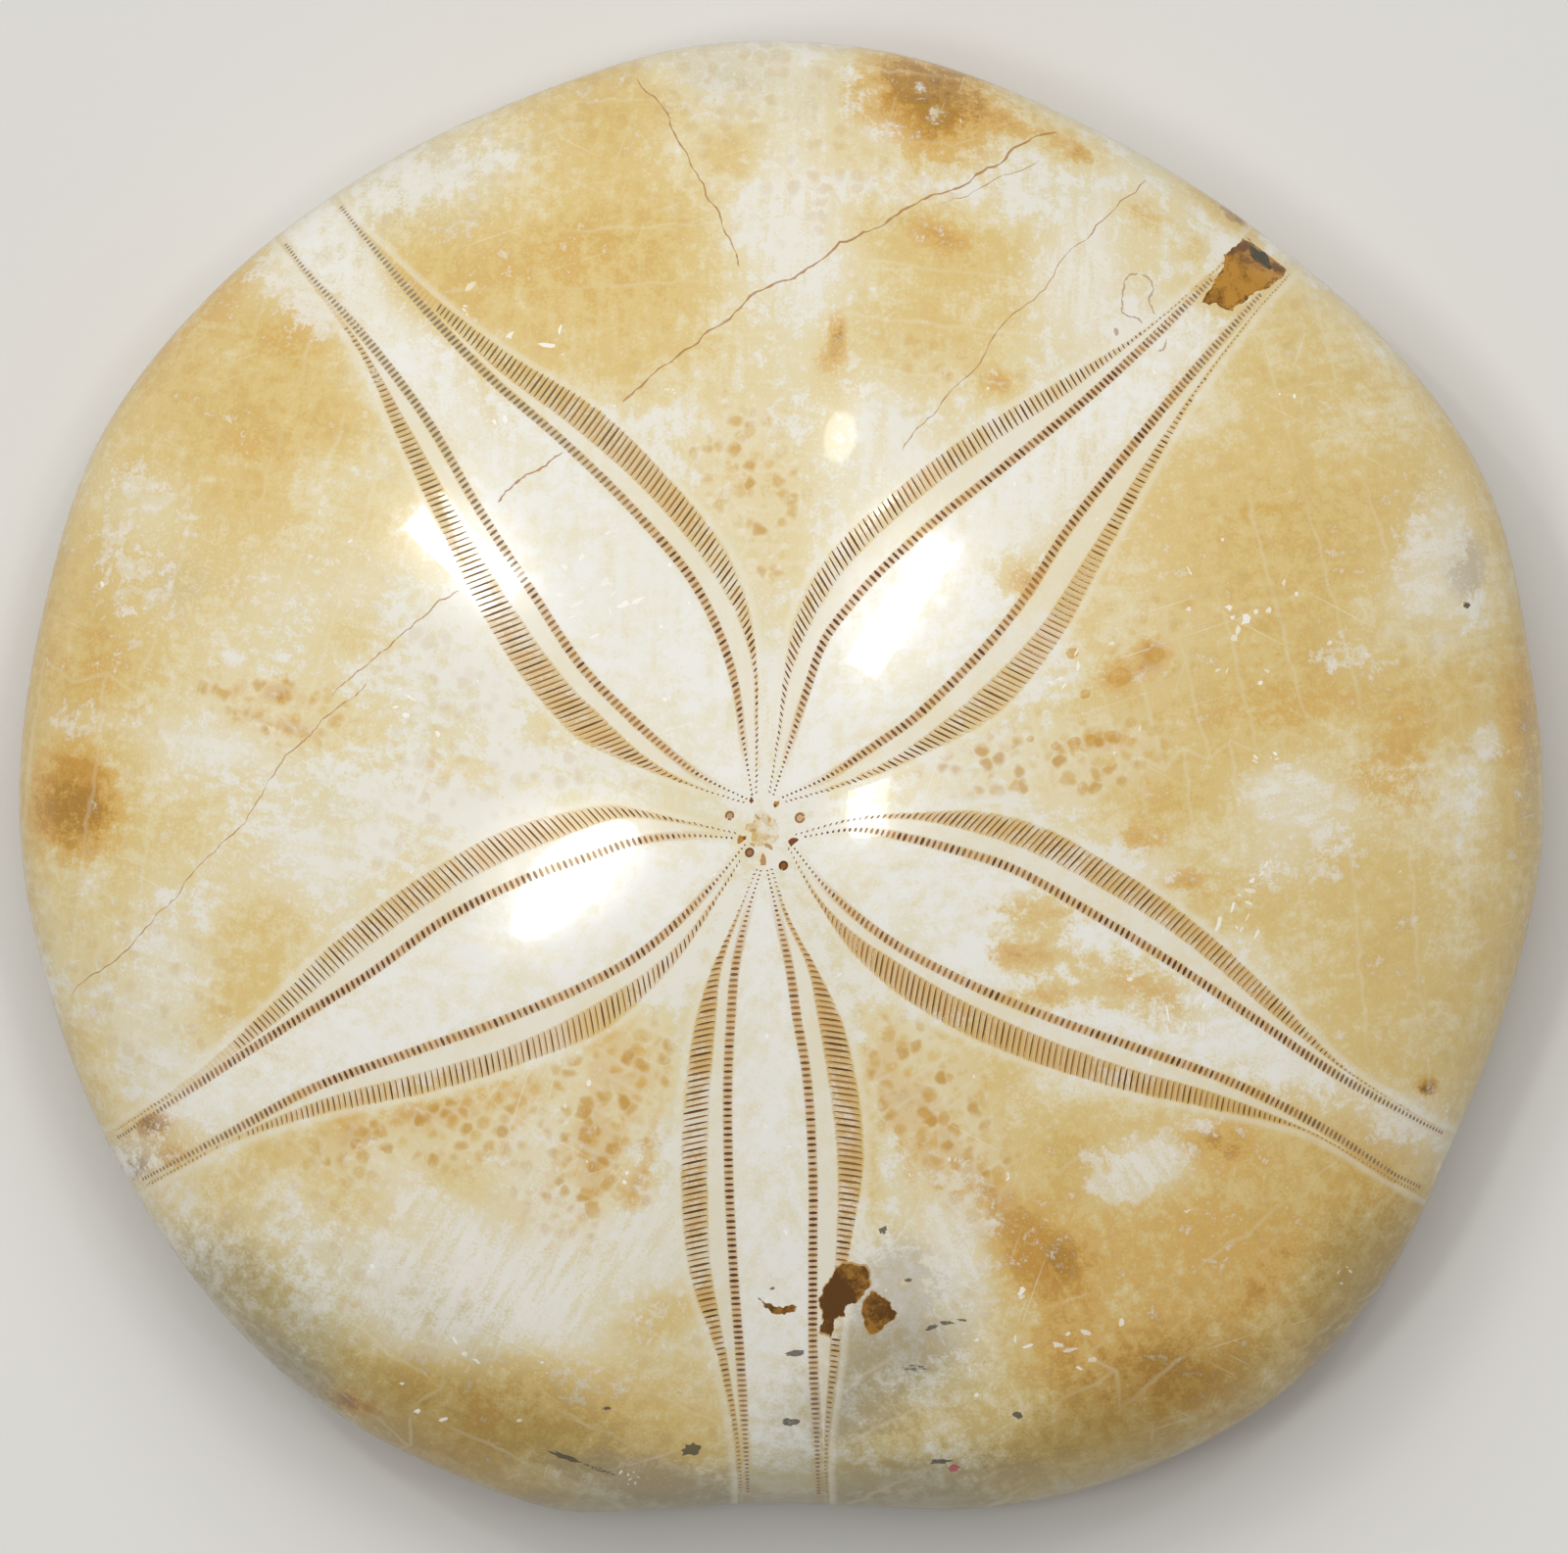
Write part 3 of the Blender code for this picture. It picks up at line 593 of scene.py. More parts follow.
# %% Specks and drawn marks
SPECKS = (
    (10.8, -38.4, 0.85, 0.22, 0), (18.2, -41.8, 0.32, 0.25, 0), (2.2, -37.3, 0.6, 0.2, 10),
    (1.9, -42.3, 0.55, 0.28, 0), (-5.2, -44.3, 0.7, 0.45, 20), (-14.2, -44.9, 1.1, 0.2, -20),
    (-11.8, -45.8, 1.0, 0.16, -18), (-6.0, -40.1, 0.3, 0.12, 10), (8.5, -28.4, 0.35, 0.22, 40),
    (13.1, -35.1, 0.55, 0.14, 0), (12.0, -35.4, 0.4, 0.16, 20), (14.2, -34.9, 0.35, 0.1, -10),
    (-1.2, -35.9, 0.35, 0.14, 0), (50.5, 16.3, 0.22, 0.2, 0), (12.6, -45.2, 0.8, 0.16, 4),
    (36.1, 41.1, 0.7, 0.22, -38), (-45.3, -24.4, 0.6, 0.3, 35), (5.2, -41.2, 0.6, 0.2, 60),
    (-11.3, -41.3, 0.3, 0.12, 0), (10.3, -32.0, 0.28, 0.12, 0), (15.8, -38.0, 0.3, 0.15, 0),
    (-23.8, -3.6, 0.35, 0.14, 20), (-25.6, -4.5, 0.4, 0.14, 20), (0.6, -32.6, 0.2, 0.1, 0),
)
RED_SPECK = (13.6, -45.7, 0.42, 0.26, 10)
APEX_MARKS = (
    ("root", ((-1.27, -0.2), (-1.28, -0.45), (-1.55, -0.65), (-1.88, -0.8), (-1.9, -0.45),
              (-1.78, -0.14))),
    ("dark_root", ((-1.27, -0.26), (-1.28, -0.45), (-1.45, -0.5), (-1.5, -0.26))),
    ("dark_root", ((1.7, -0.6), (1.93, -1.00), (2.12, -0.8), (2.5, -0.48), (2.1, -0.35),
                   (1.85, -0.44))),
    ("root", ((-0.08, -1.42), (0.06, -1.62), (0.15, -2.00), (0.13, -2.3), (-0.26, -2.3),
              (-0.3, -2.00), (-0.2, -1.62))),
    ("dark_root", ((-0.76, 2.22), (-0.92, 2.06), (-1.07, 2.28), (-0.96, 2.52), (-0.85, 2.58),
                   (-0.76, 2.36))),
    ("root", ((0.64, 1.98), (0.74, 1.78), (0.9, 1.84), (1.08, 2.06), (1.08, 2.32), (0.94, 2.24),
              (0.72, 2.26))),
    ("dark_root", ((0.68, 1.95), (0.75, 1.8), (0.88, 1.86), (0.86, 2.05))),
    ("sieve", ((-0.75, 1.45), (-0.1, 1.62), (0.3, 1.3), (0.85, 1.00), (1.12, 0.35),
               (1.1, -0.35), (0.75, -0.75), (0.2, -0.85), (-0.45, -0.95), (-0.9, -0.55),
               (-0.85, 0.00), (-1.35, 0.25), (-1.3, 0.6), (-0.8, 0.7), (-0.75, 1.1))),
    ("root", ((0.00, -0.78), (0.2, -0.74), (0.46, -0.84), (0.64, -1.12), (0.56, -1.24),
              (0.34, -1.1), (0.08, -1.00))),
    ("root", ((-0.6, 1.38), (-0.48, 1.22), (-0.26, 1.06), (-0.36, 0.9), (-0.52, 1.02),
              (-0.66, 1.26))),
    ("root", ((-0.95, 0.3), (-0.7, 0.35), (-0.5, 0.2), (-0.62, 0.04), (-0.88, 0.08))),
    ("sieve", ((0.62, -0.05), (0.9, -0.1), (1.05, -0.35), (0.8, -0.45), (0.6, -0.3))),
    ("root", ((0.3, 1.02), (0.42, 1.06), (0.5, 0.88), (0.38, 0.8))),
    ("root", ((-1.00, -0.72), (-0.86, -0.7), (-0.62, -0.92), (-0.72, -1.00), (-0.98, -0.86))),
)
TUBERCLES = (
    (20.8, 6.2, 0.36), (22.1, 6.4, 0.5), (23.3, 6.6, 0.44), (24.7, 6.9, 0.48), (19.0, 6.7, 0.28),
    (25.4, 11.1, 0.85), (27.9, 12.7, 0.7), (22.9, 9.9, 0.4), (22.0, 12.8, 0.45),
)
VIOLET_CURL = (
    (26.8, 40.1), (26.2, 40.0), (25.8, 39.4), (25.7, 38.7), (25.7, 37.8), (25.6, 37.4),
    (25.9, 37.1), (26.3, 36.95), (26.8, 36.85), (27.1, 36.5),
)
VIOLET_TAIL = (
    (26.8, 40.1), (27.4, 39.9), (27.8, 39.5), (27.95, 39.0), (27.6, 38.4), (27.7, 37.8),
    (27.9, 37.3), (28.5, 36.6), (28.6, 35.9), (28.8, 35.2), (28.6, 34.6), (28.2, 34.5),
)
VIOLET_BLOT = (25.2, 35.9, 0.32, 0.17, 100)
print(len(SPECKS), "specks and", len(APEX_MARKS), "marks at the apex")

# %% [markdown]
# Each of these becomes a small closed outline with an uneven edge.

# %% Small marks
SMALL_CHIP, LARGE_CHIP = 0.05, 0.24


def blot(x, y, long_radius, short_radius, turn, corners=9, ragged=0.22):
    """A closed outline with an uneven edge, for a speck, a chip or a small plate."""
    outline = oval(np.array((x, y)), direction(turn), long_radius, short_radius, corners)
    middle = np.array((x, y))
    return middle + (outline - middle) * rng.uniform(1 - ragged, 1 + ragged, (corners, 1))


apex_marks = [(kind, roughened(line, 1, 0.15, True)) for kind, line in APEX_MARKS]
marks = [("speck", blot(*speck, corners=16, ragged=0.35)) for speck in SPECKS]
marks += [("violet", blot(*VIOLET_BLOT)), ("red_speck", blot(*RED_SPECK, corners=12))]
marks += [("tubercle", blot(x, y, radius, 0.85 * radius, 20, corners=14, ragged=0.12))
          for x, y, radius in TUBERCLES]
marks += [("chip", blot(*chip, corners=7, ragged=0.45)) for chip in CHIPS]
for x, y, spread, count in CHIP_CLUSTERS:
    for _ in range(count):
        offset = rng.normal(0, 0.5, 2) * spread
        size = rng.uniform(SMALL_CHIP, LARGE_CHIP)
        chip = blot(x + offset[0], y + offset[1], size, size * rng.uniform(0.25, 0.8),
                    rng.uniform(0, 180), corners=6, ragged=0.35)
        marks.append(("chip", chip))
print(len(marks), "small marks")

# %% [markdown]
# ## Keeping the cuts apart
#
# Where two petals meet, pores would run into each other, and a cut that crosses another
# cut leaves broken faces.  So every pit is checked against those already kept, through
# a grid of small squares: only pits in the same or a neighbouring square can touch.  A
# pit under a patch is filled with mineral, so it goes too.

# %% Keep the cuts apart
SQUARE = 0.5
GAP = 0.02
SPINE_STEP = 0.12
APEX_MARK_WIDTH = 0.03
kept_pits = []
squares = {}


def spine(pit):
    """Points along the middle of a pit, and its half width."""
    rim = pit["rim"]
    half_way = len(rim) // 2
    width = np.linalg.norm(rim[len(rim) // 4] - rim[-(len(rim) // 4)]) / 2
    steps = max(2, int(np.linalg.norm(rim[0] - rim[half_way]) / SPINE_STEP))
    part = np.linspace(0.06, 0.94, steps)[:, None]
    return rim[0] + part * (rim[half_way] - rim[0]), width


def is_free(points, width):
    for x, y in points:
        column, row = int(x // SQUARE), int(y // SQUARE)
        for near in ((column + i, row + j) for i in (-1, 0, 1) for j in (-1, 0, 1)):
            for other_x, other_y, other_width in squares.get(near, ()):
                if np.hypot(x - other_x, y - other_y) < width + other_width + GAP:
                    return False
    return True


def occupy(points, width):
    for x, y in points:
        squares.setdefault((int(x // SQUARE), int(y // SQUARE)), []).append((x, y, width))


middles = np.array([pit["rim"].mean(axis=0) for pit in pits])
filled = np.zeros(len(pits), bool)
for outline in patches.values():
    for share in (0.0, 0.5):
        ends = np.array([pit["rim"][int(share * len(pit["rim"]))] for pit in pits])
        filled |= inside(ends, outline)
    filled |= inside(middles, outline)

for kind, outline in apex_marks:
    middle = outline.mean(axis=0)
    for share in (1.0, 0.6, 0.2):
        occupy(middle + share * (outline - middle), APEX_MARK_WIDTH)

egg_pores_first = sorted(range(len(pits)), key=lambda i: pits[i]["kind"] != "egg_pore")
for number in egg_pores_first:
    points, width = spine(pits[number])
    is_round = pits[number]["kind"] == "egg_pore"
    if is_round or not filled[number] and is_free(points, width):
        occupy(points, width)
        kept_pits.append(pits[number])
print(len(kept_pits), "pits kept of", len(pits))

# %% [markdown]
# ## One flat drawing, cut into triangles
#
# Everything on the dome is now drawn in plan: an outer edge, pit rims and floors, patch
# edges, crack edges and loose points that fill the fields.  Blender can turn such a
# drawing into triangles that follow every line of it.  This gives far fewer faces than
# cutting two thousand pits with Boolean modifiers, and it never fails half way.  All of
# it stops a little inside the margin, at the seam.

# %% Gather the drawing
COLUMNS = 420
SEAM_REACH, PATCH_REACH, MARK_REACH = 0.985, 0.981, 0.975
PATCH_RIM = 1.06
GOLDEN_SHARE, GOLDEN_SHIFT = 0.80, (0.30, 0.22)
GREEN_MARK = (35.7, 41.4, 1.0, 0.42, -42)
plan_points, plan_depths, plan_edges, plan_faces, face_notes = [], [], [], [], []


def put(points, depth=0.0):
    """Adds points to the drawing and gives back their numbers."""
    first = len(plan_points)
    plan_points.extend(tuple(point) for point in points)
    plan_depths.extend([depth] * len(points))
    return list(range(first, first + len(points)))


def put_outline(outline, kind, depth=0.0, tone=None):
    """Adds a closed outline, anticlockwise, because the cut takes a clockwise one for a hole."""
    x, y = outline[:, 0], outline[:, 1]
    turned_left = np.sum(x * np.roll(y, -1) - y * np.roll(x, -1)) > 0
    plan_faces.append(put(outline if turned_left else outline[::-1], depth))
    face_notes.append({"kind": kind, "tone": rng.uniform() if tone is None else tone})


def ring(reach, count=COLUMNS, phase=0.0):
    headings = (np.arange(count) + phase) * 360 / count
    return (reach * margin_reach(headings) * direction(headings)).T


put_outline(ring(SEAM_REACH), "field")

for kind, outline in apex_marks:
    put_outline(outline, kind)

for pit in kept_pits:
    put_outline(pit["rim"], pit["kind"], tone=pit.get("lightness"))
    if pit["kind"] == "slit":
        half_way = len(pit["floor"]) // 2
        floor = put(pit["floor"][[0, half_way]], pit["depth"])
        plan_edges.append(tuple(floor))
    elif pit["kind"] == "egg_pore":
        put_outline(pit["floor"], "egg_floor", pit["depth"], pit["lightness"])
    else:
        put(pit["floor"], pit["depth"])

for name, outline in patches.items():
    outline = outline * np.minimum(1, PATCH_REACH / reach_of(outline))[:, None]
    middle = outline.mean(axis=0)
    if name == "petal_end":
        put_outline(outline, "golden_edge")
        put_outline(middle + GOLDEN_SHARE * (outline - middle) - GOLDEN_SHIFT, "golden_patch")
        put_outline(blot(*GREEN_MARK, corners=12, ragged=0.3), "green_mark")
    else:
        put_outline(middle + PATCH_RIM * (outline - middle), "patch_rim")
        put_outline(outline, "patch")
    occupy(outline, 0.02)

marks_kept = 0
for kind, outline in marks:
    in_patch = any(inside(outline, patch).any() for patch in patches.values())
    hidden = in_patch and kind == "chip"
    if reach_of(outline).max() < MARK_REACH and is_free(outline, 0.0) and not hidden:
        put_outline(outline, kind)
        occupy(outline, 0.01)
        marks_kept += 1
print(marks_kept, "marks kept and", len(plan_points), "points in the drawing")

# %% [markdown]
# A crack can't run through a pit without breaking its faces, so each one is cut up into
# the stretches between pits.  Every stretch is a thin leaf of uneven width with a lowered
# line along its middle, which makes the groove.  The violet curls are made the same way.


# %% Cut the cracks where they meet pores
CRACK_DEPTH = 0.012
CRACK_GAP = 0.06
LINE_TONE = 0.55
VIOLET_HALF_WIDTH = 0.075


def free_runs(line, half):
    """The stretches of a crack that stay clear of every pore, as lists of points."""
    run, runs = [], []
    for point in line:
        clear = is_free(point[None], half + CRACK_GAP)
        clear = clear and reach_of(point[None])[0] < MARK_REACH
        if clear:
            run.append(point)
        if run and not clear:
            runs.append(run)
            run = []
    return [np.array(points) for points in [*runs, run] if len(points) > 3]


curls = [("violet", VIOLET_HALF_WIDTH, roughened(line, 2, 0.12, False))
         for line in (VIOLET_CURL, VIOLET_TAIL)]
lines = [("crack", half, line) for half, line in cracks.values()]
for kind, half, line in curls + lines:
    for run in free_runs(line, half):
        way = np.gradient(run, axis=0)
        way /= np.linalg.norm(way, axis=1)[:, None]
        taper = half * rng.uniform(0.35, 1.15, len(run))
        taper[[0, -1]] = 0.3 * half
        sideways = taper[:, None] * way[:, ::-1] * (-1, 1)
        put_outline(np.vstack([run + sideways, (run - sideways)[::-1]]), kind, tone=LINE_TONE)
        bottom = put(run[1:-1], CRACK_DEPTH)
        plan_edges.extend(zip(bottom[:-1], bottom[1:]))
        occupy(run, half)
print(sum(note["kind"] == "crack" for note in face_notes), "stretches of crack")

# %% [markdown]
# The fields between the cuts need points too, or their triangles would be too large to
# follow the dome.  They stand on rings that are evenly spaced along the slope, and each
# ring is turned against the last, so that no spokes show.

# %% Fill the fields with loose points
FIELD_STEP = 0.66
FIELD_GAP = 0.12
PROFILE_REACH, RING_REACH = 55.0, 54.5
TURN_PER_RING = 0.618


def slope_length(reaches, height_at, heading):
    """Length of the sloping surface, in one heading, from the first reach to each of them."""
    heights = height_at(np.outer(reaches, PROFILE_REACH * direction(heading)))
    steps = np.hypot(np.diff(reaches * PROFILE_REACH), np.diff(heights))
    return np.concatenate([[0], np.cumsum(steps)])


profile_reaches = np.linspace(0, SEAM_REACH, 600)
profile_length = slope_length(profile_reaches, upper_height, 0)
ring_count = int(profile_length[-1] / FIELD_STEP)
field = []
for number in range(1, ring_count):
    ring_place = number * profile_length[-1] / ring_count
    reach = np.interp(ring_place, profile_length, profile_reaches)
    count = max(6, round(2 * np.pi * RING_REACH * reach / FIELD_STEP))
    field.extend(ring(reach, count, number * TURN_PER_RING))
free_field = [point for point in field if is_free(point[None], FIELD_GAP)]
put(free_field)
print(len(free_field), "loose points of", len(field))

# %% [markdown]
# The cut tells for each triangle which outlines it lies in, and the last of them is what
# it shows.  Outline 0 is the seam.  The notch curves inward, so the cut also fills the
# hollow outside the seam there, and those few triangles are dropped.

# %% Turn the drawing into triangles
KEEP_INSIDE = 1
SAME_POINT = 1e-6
cut_points, _, cut_faces, point_sources, _, face_sources = delaunay_2d_cdt(
    [Vector(point) for point in plan_points], plan_edges, plan_faces,
    KEEP_INSIDE, SAME_POINT, True,
)
top_plan = np.array([tuple(point) for point in cut_points])
top_depth = np.array([plan_depths[sources[0]] if sources else 0.0 for sources in point_sources])
kept_faces = [number for number, sources in enumerate(face_sources) if 0 in sources]
top_faces = np.array([cut_faces[number] for number in kept_faces])
top_note = np.array([max(face_sources[number]) for number in kept_faces])
print(len(cut_faces) - len(kept_faces), "faces dropped outside the seam, where the notch curves in")
print(len(top_plan), "points and", len(top_faces), "faces on the dome")

# %% [markdown]
# ## Rim and underside
#
# The dome's drawing stops just inside the margin, because the wall there is too steep to
# draw from above.  From that seam a plain grid of rings runs over the rim and across the
# underside to the mouth.  Rings are spaced evenly along the profile, not in plan, so
# that the tight curve of the rim gets its share.

# %% Rings over the rim and below
RIM_RINGS = 6
LOWER_RINGS = 58
LAST_RING_REACH = 0.012
PROFILE_HEADING = 108


def even_reaches(height_at, start, stop, count):
    """Reaches from start to stop that are evenly spaced along the sloping surface."""
    fine = np.linspace(start, stop, 4000)
    length = slope_length(fine, height_at, PROFILE_HEADING)
    return np.interp(np.linspace(0, length[-1], count + 1), length, fine)


rim_reaches = even_reaches(upper_height, SEAM_REACH, 1.0, RIM_RINGS)
lower_reaches = even_reaches(lower_height, 1.0, LAST_RING_REACH, LOWER_RINGS)[1:]
rim_grid = [ring(reach) for reach in rim_reaches]
lower_grid = [ring(reach) for reach in lower_reaches]
grid_plan = np.array(rim_grid + lower_grid)
grid_height = [upper_height(points) for points in rim_grid]
grid_height += [lower_height(points) for points in lower_grid]
grid = np.dstack([grid_plan, np.array(grid_height)])
around = np.roll(grid, -1, axis=1) - np.roll(grid, 1, axis=1)
downward = np.gradient(grid, axis=0)
grid_normals = np.cross(downward, around)
grid_normals /= np.linalg.norm(grid_normals, axis=2)[:, :, None]
print("grid of", grid.shape[0], "rings")

# %% [markdown]
# ## Joining both into one closed mesh
#
# The seam ring exists in both halves, so its points are shared.  The dome's points move
# up to the surface, and pit floors move down into it.  The polish has to mirror lamps
# without a ripple, so each corner on the surface takes its normal from the formula.
# Inside a pit the normal leans part way to the flat one of its face, which shades it.

# %% Join
POLISH_STEP = 0.5
smooth_normals = lean_of(top_plan, upper_height, POLISH_STEP)
near_margin = smooth_step(reach_of(top_plan), 0.90, 0.94)[:, None]
top_normals = lean_of(top_plan, upper_height) * near_margin + smooth_normals * (1 - near_margin)
top_normals /= np.linalg.norm(top_normals, axis=1)[:, None]
top = np.column_stack([top_plan, upper_height(top_plan)]) - top_depth[:, None] * top_normals
seam_gap = np.linalg.norm(top[:COLUMNS] - grid[0], axis=1).max()
print(f"seam points agree to {seam_gap:.5f} mm")

rings_below = len(grid) - 1
points = np.vstack([top, grid[1:].reshape(-1, 3), [[0, 0, lower_height(np.zeros((1, 2)))[0]]]])
normals = np.vstack([top_normals, grid_normals[1:].reshape(-1, 3), [[0, 0, -1]]])
numbers = len(top) + np.arange(rings_below * COLUMNS).reshape(rings_below, COLUMNS)
numbers = np.vstack([np.arange(COLUMNS), numbers])
beside = np.roll(numbers, -1, axis=1)
quads = np.stack([numbers[:-1], numbers[1:], beside[1:], beside[:-1]], axis=2).reshape(-1, 4)
centre = len(points) - 1
fan = np.column_stack([numbers[-1], np.full(COLUMNS, centre), beside[-1]])
lower_faces = np.vstack([quads[:, [0, 1, 2]], quads[:, [0, 2, 3]], fan])
faces = np.vstack([top_faces, lower_faces])
face_note = np.concatenate([top_note, np.zeros(len(lower_faces), int)])
points[:, :2] += APEX
print(len(points), "points,", len(faces), "faces")

# %% Make the mesh
PIT_FLATNESS = 0.4


def add_object(name, data):
    made = bpy.data.objects.new(name, data)
    bpy.context.scene.collection.objects.link(made)
    return made


mesh = bpy.data.meshes.new("fossil")
mesh.from_pydata((points * METRES_PER_MM).tolist(), [], faces.tolist())
fossil = add_object("fossil", mesh)
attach(fossil, "root")
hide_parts(NODE)

kinds = np.array([note["kind"] for note in face_notes])
tones = np.array([note["tone"] for note in face_notes])
in_pit = np.isin(kinds, ("pore", "slit", "egg_pore", "egg_floor"))[face_note]
mesh.polygons.foreach_set("use_smooth", ~in_pit)
corners = points[faces]
flat_normals = np.cross(corners[:, 1] - corners[:, 0], corners[:, 2] - corners[:, 0])
flat_normals /= np.maximum(np.linalg.norm(flat_normals, axis=1), 1e-12)[:, None]
in_pit_normals = PIT_FLATNESS * flat_normals[:, None, :] + (1 - PIT_FLATNESS) * normals[faces]
corner_normals = np.where(in_pit[:, None, None], in_pit_normals, normals[faces])
corner_normals /= np.linalg.norm(corner_normals, axis=2)[:, :, None]
mesh.normals_split_custom_set(corner_normals.reshape(-1, 3).tolist())
print("faces that look down on the dome:", int((flat_normals[: len(top_faces), 2] < 0).sum()))

# %% [markdown]
# ## What the surface knows about itself
#
# Colour on this stone follows its anatomy: bands of slits are golden, plate joints are
# pale, stains sit where mineral water went.  So each point carries a few numbers made
# from the same curves as the shape: how far it is from each row, how far along, and
# where it lies on its plate.  The material reads them as attributes.  The bands of some
# petals took up more iron than those of others, so each petal has a share of gilding.

# %% Distances from the pore rows
plan = points[:, :2] - APEX
on_top = np.ones(len(points))
on_top[len(top):] = 0.0
fading_rings = np.clip(1.5 - np.arange(rings_below) / RIM_RINGS / 1.5, 0, 1)
on_top[len(top) : centre] = np.repeat(fading_rings, COLUMNS)

GILT = {"right": 0.95, "back_right": 0.45, "back_left": 0.75, "left": 0.5, "front": 1.0}
FAR_FROM_ROWS = 9.0
nearest_row = np.full(len(points), np.inf)
row_mm = np.full((len(points), 3), FAR_FROM_ROWS)
row_place = np.zeros((len(points), 3))
in_green_petal = np.zeros(len(points))
for name, petal in PETALS.items():
    along, sideways = place_on(petal, plan)
    inner, band_in, band_out = petal_rows(petal, along, sideways)
    away = np.abs(sideways)
    from_band = np.abs(away - (inner + band_out) / 2)
    from_band = np.where(along > -0.5, from_band, np.inf)
    closer = from_band < nearest_row
    nearest_row = np.where(closer, from_band, nearest_row)
    distances = np.column_stack([away - inner, away - band_in, away - band_out])
    row_mm = np.where(closer[:, None], distances, row_mm)
    leaned = along + SLIT_SETBACK - SLIT_LEANS[name] * (away - band_in)
    counts = [np.interp(leaned, row_steps[name, side], np.arange(len(row_steps[name, side])))
              for side in (1, -1)]
    count = np.where(sideways > 0, counts[0], counts[1])
    place = np.column_stack([count, along, np.full(len(points), GILT[name])])
    row_place = np.where(closer[:, None], place, row_place)
    in_green_petal = np.where(closer, name == "back_left", in_green_petal)
print("points near a row:", int((nearest_row < 4).sum()))

# %% [markdown]
# Between two petals the shell was built of plates in two columns.  A place there is told
# by how far it lies from the line midway between the petals, how far out it is along that
# line, and how many plates have gone by; plates grow longer toward the margin.

# %% Places on the plates between petals
PLATE_ROWS, PLATE_GROWTH = 19.8, 0.22
headings_of_petals = np.array(sorted(petal["heading"] % 360 for petal in PETALS.values()))
headings = np.degrees(np.arctan2(plan[:, 1], plan[:, 0])) % 360
following = np.searchsorted(headings_of_petals, headings) % 5
before = headings_of_petals[following - 1]
after = headings_of_petals[following]
middle_way = before + ((after - before) % 360) / 2
turned = np.radians((headings - middle_way + 180) % 360 - 180)
distance = np.hypot(plan[:, 0], plan[:, 1])
outward = np.maximum(distance * np.cos(turned), 0.5)
plate_rows = PLATE_ROWS * outward**PLATE_GROWTH
plates = np.column_stack([distance * np.sin(turned), outward, plate_rows])
print("plate columns reach out to", plates[:, 1].max().round(1), "mm")
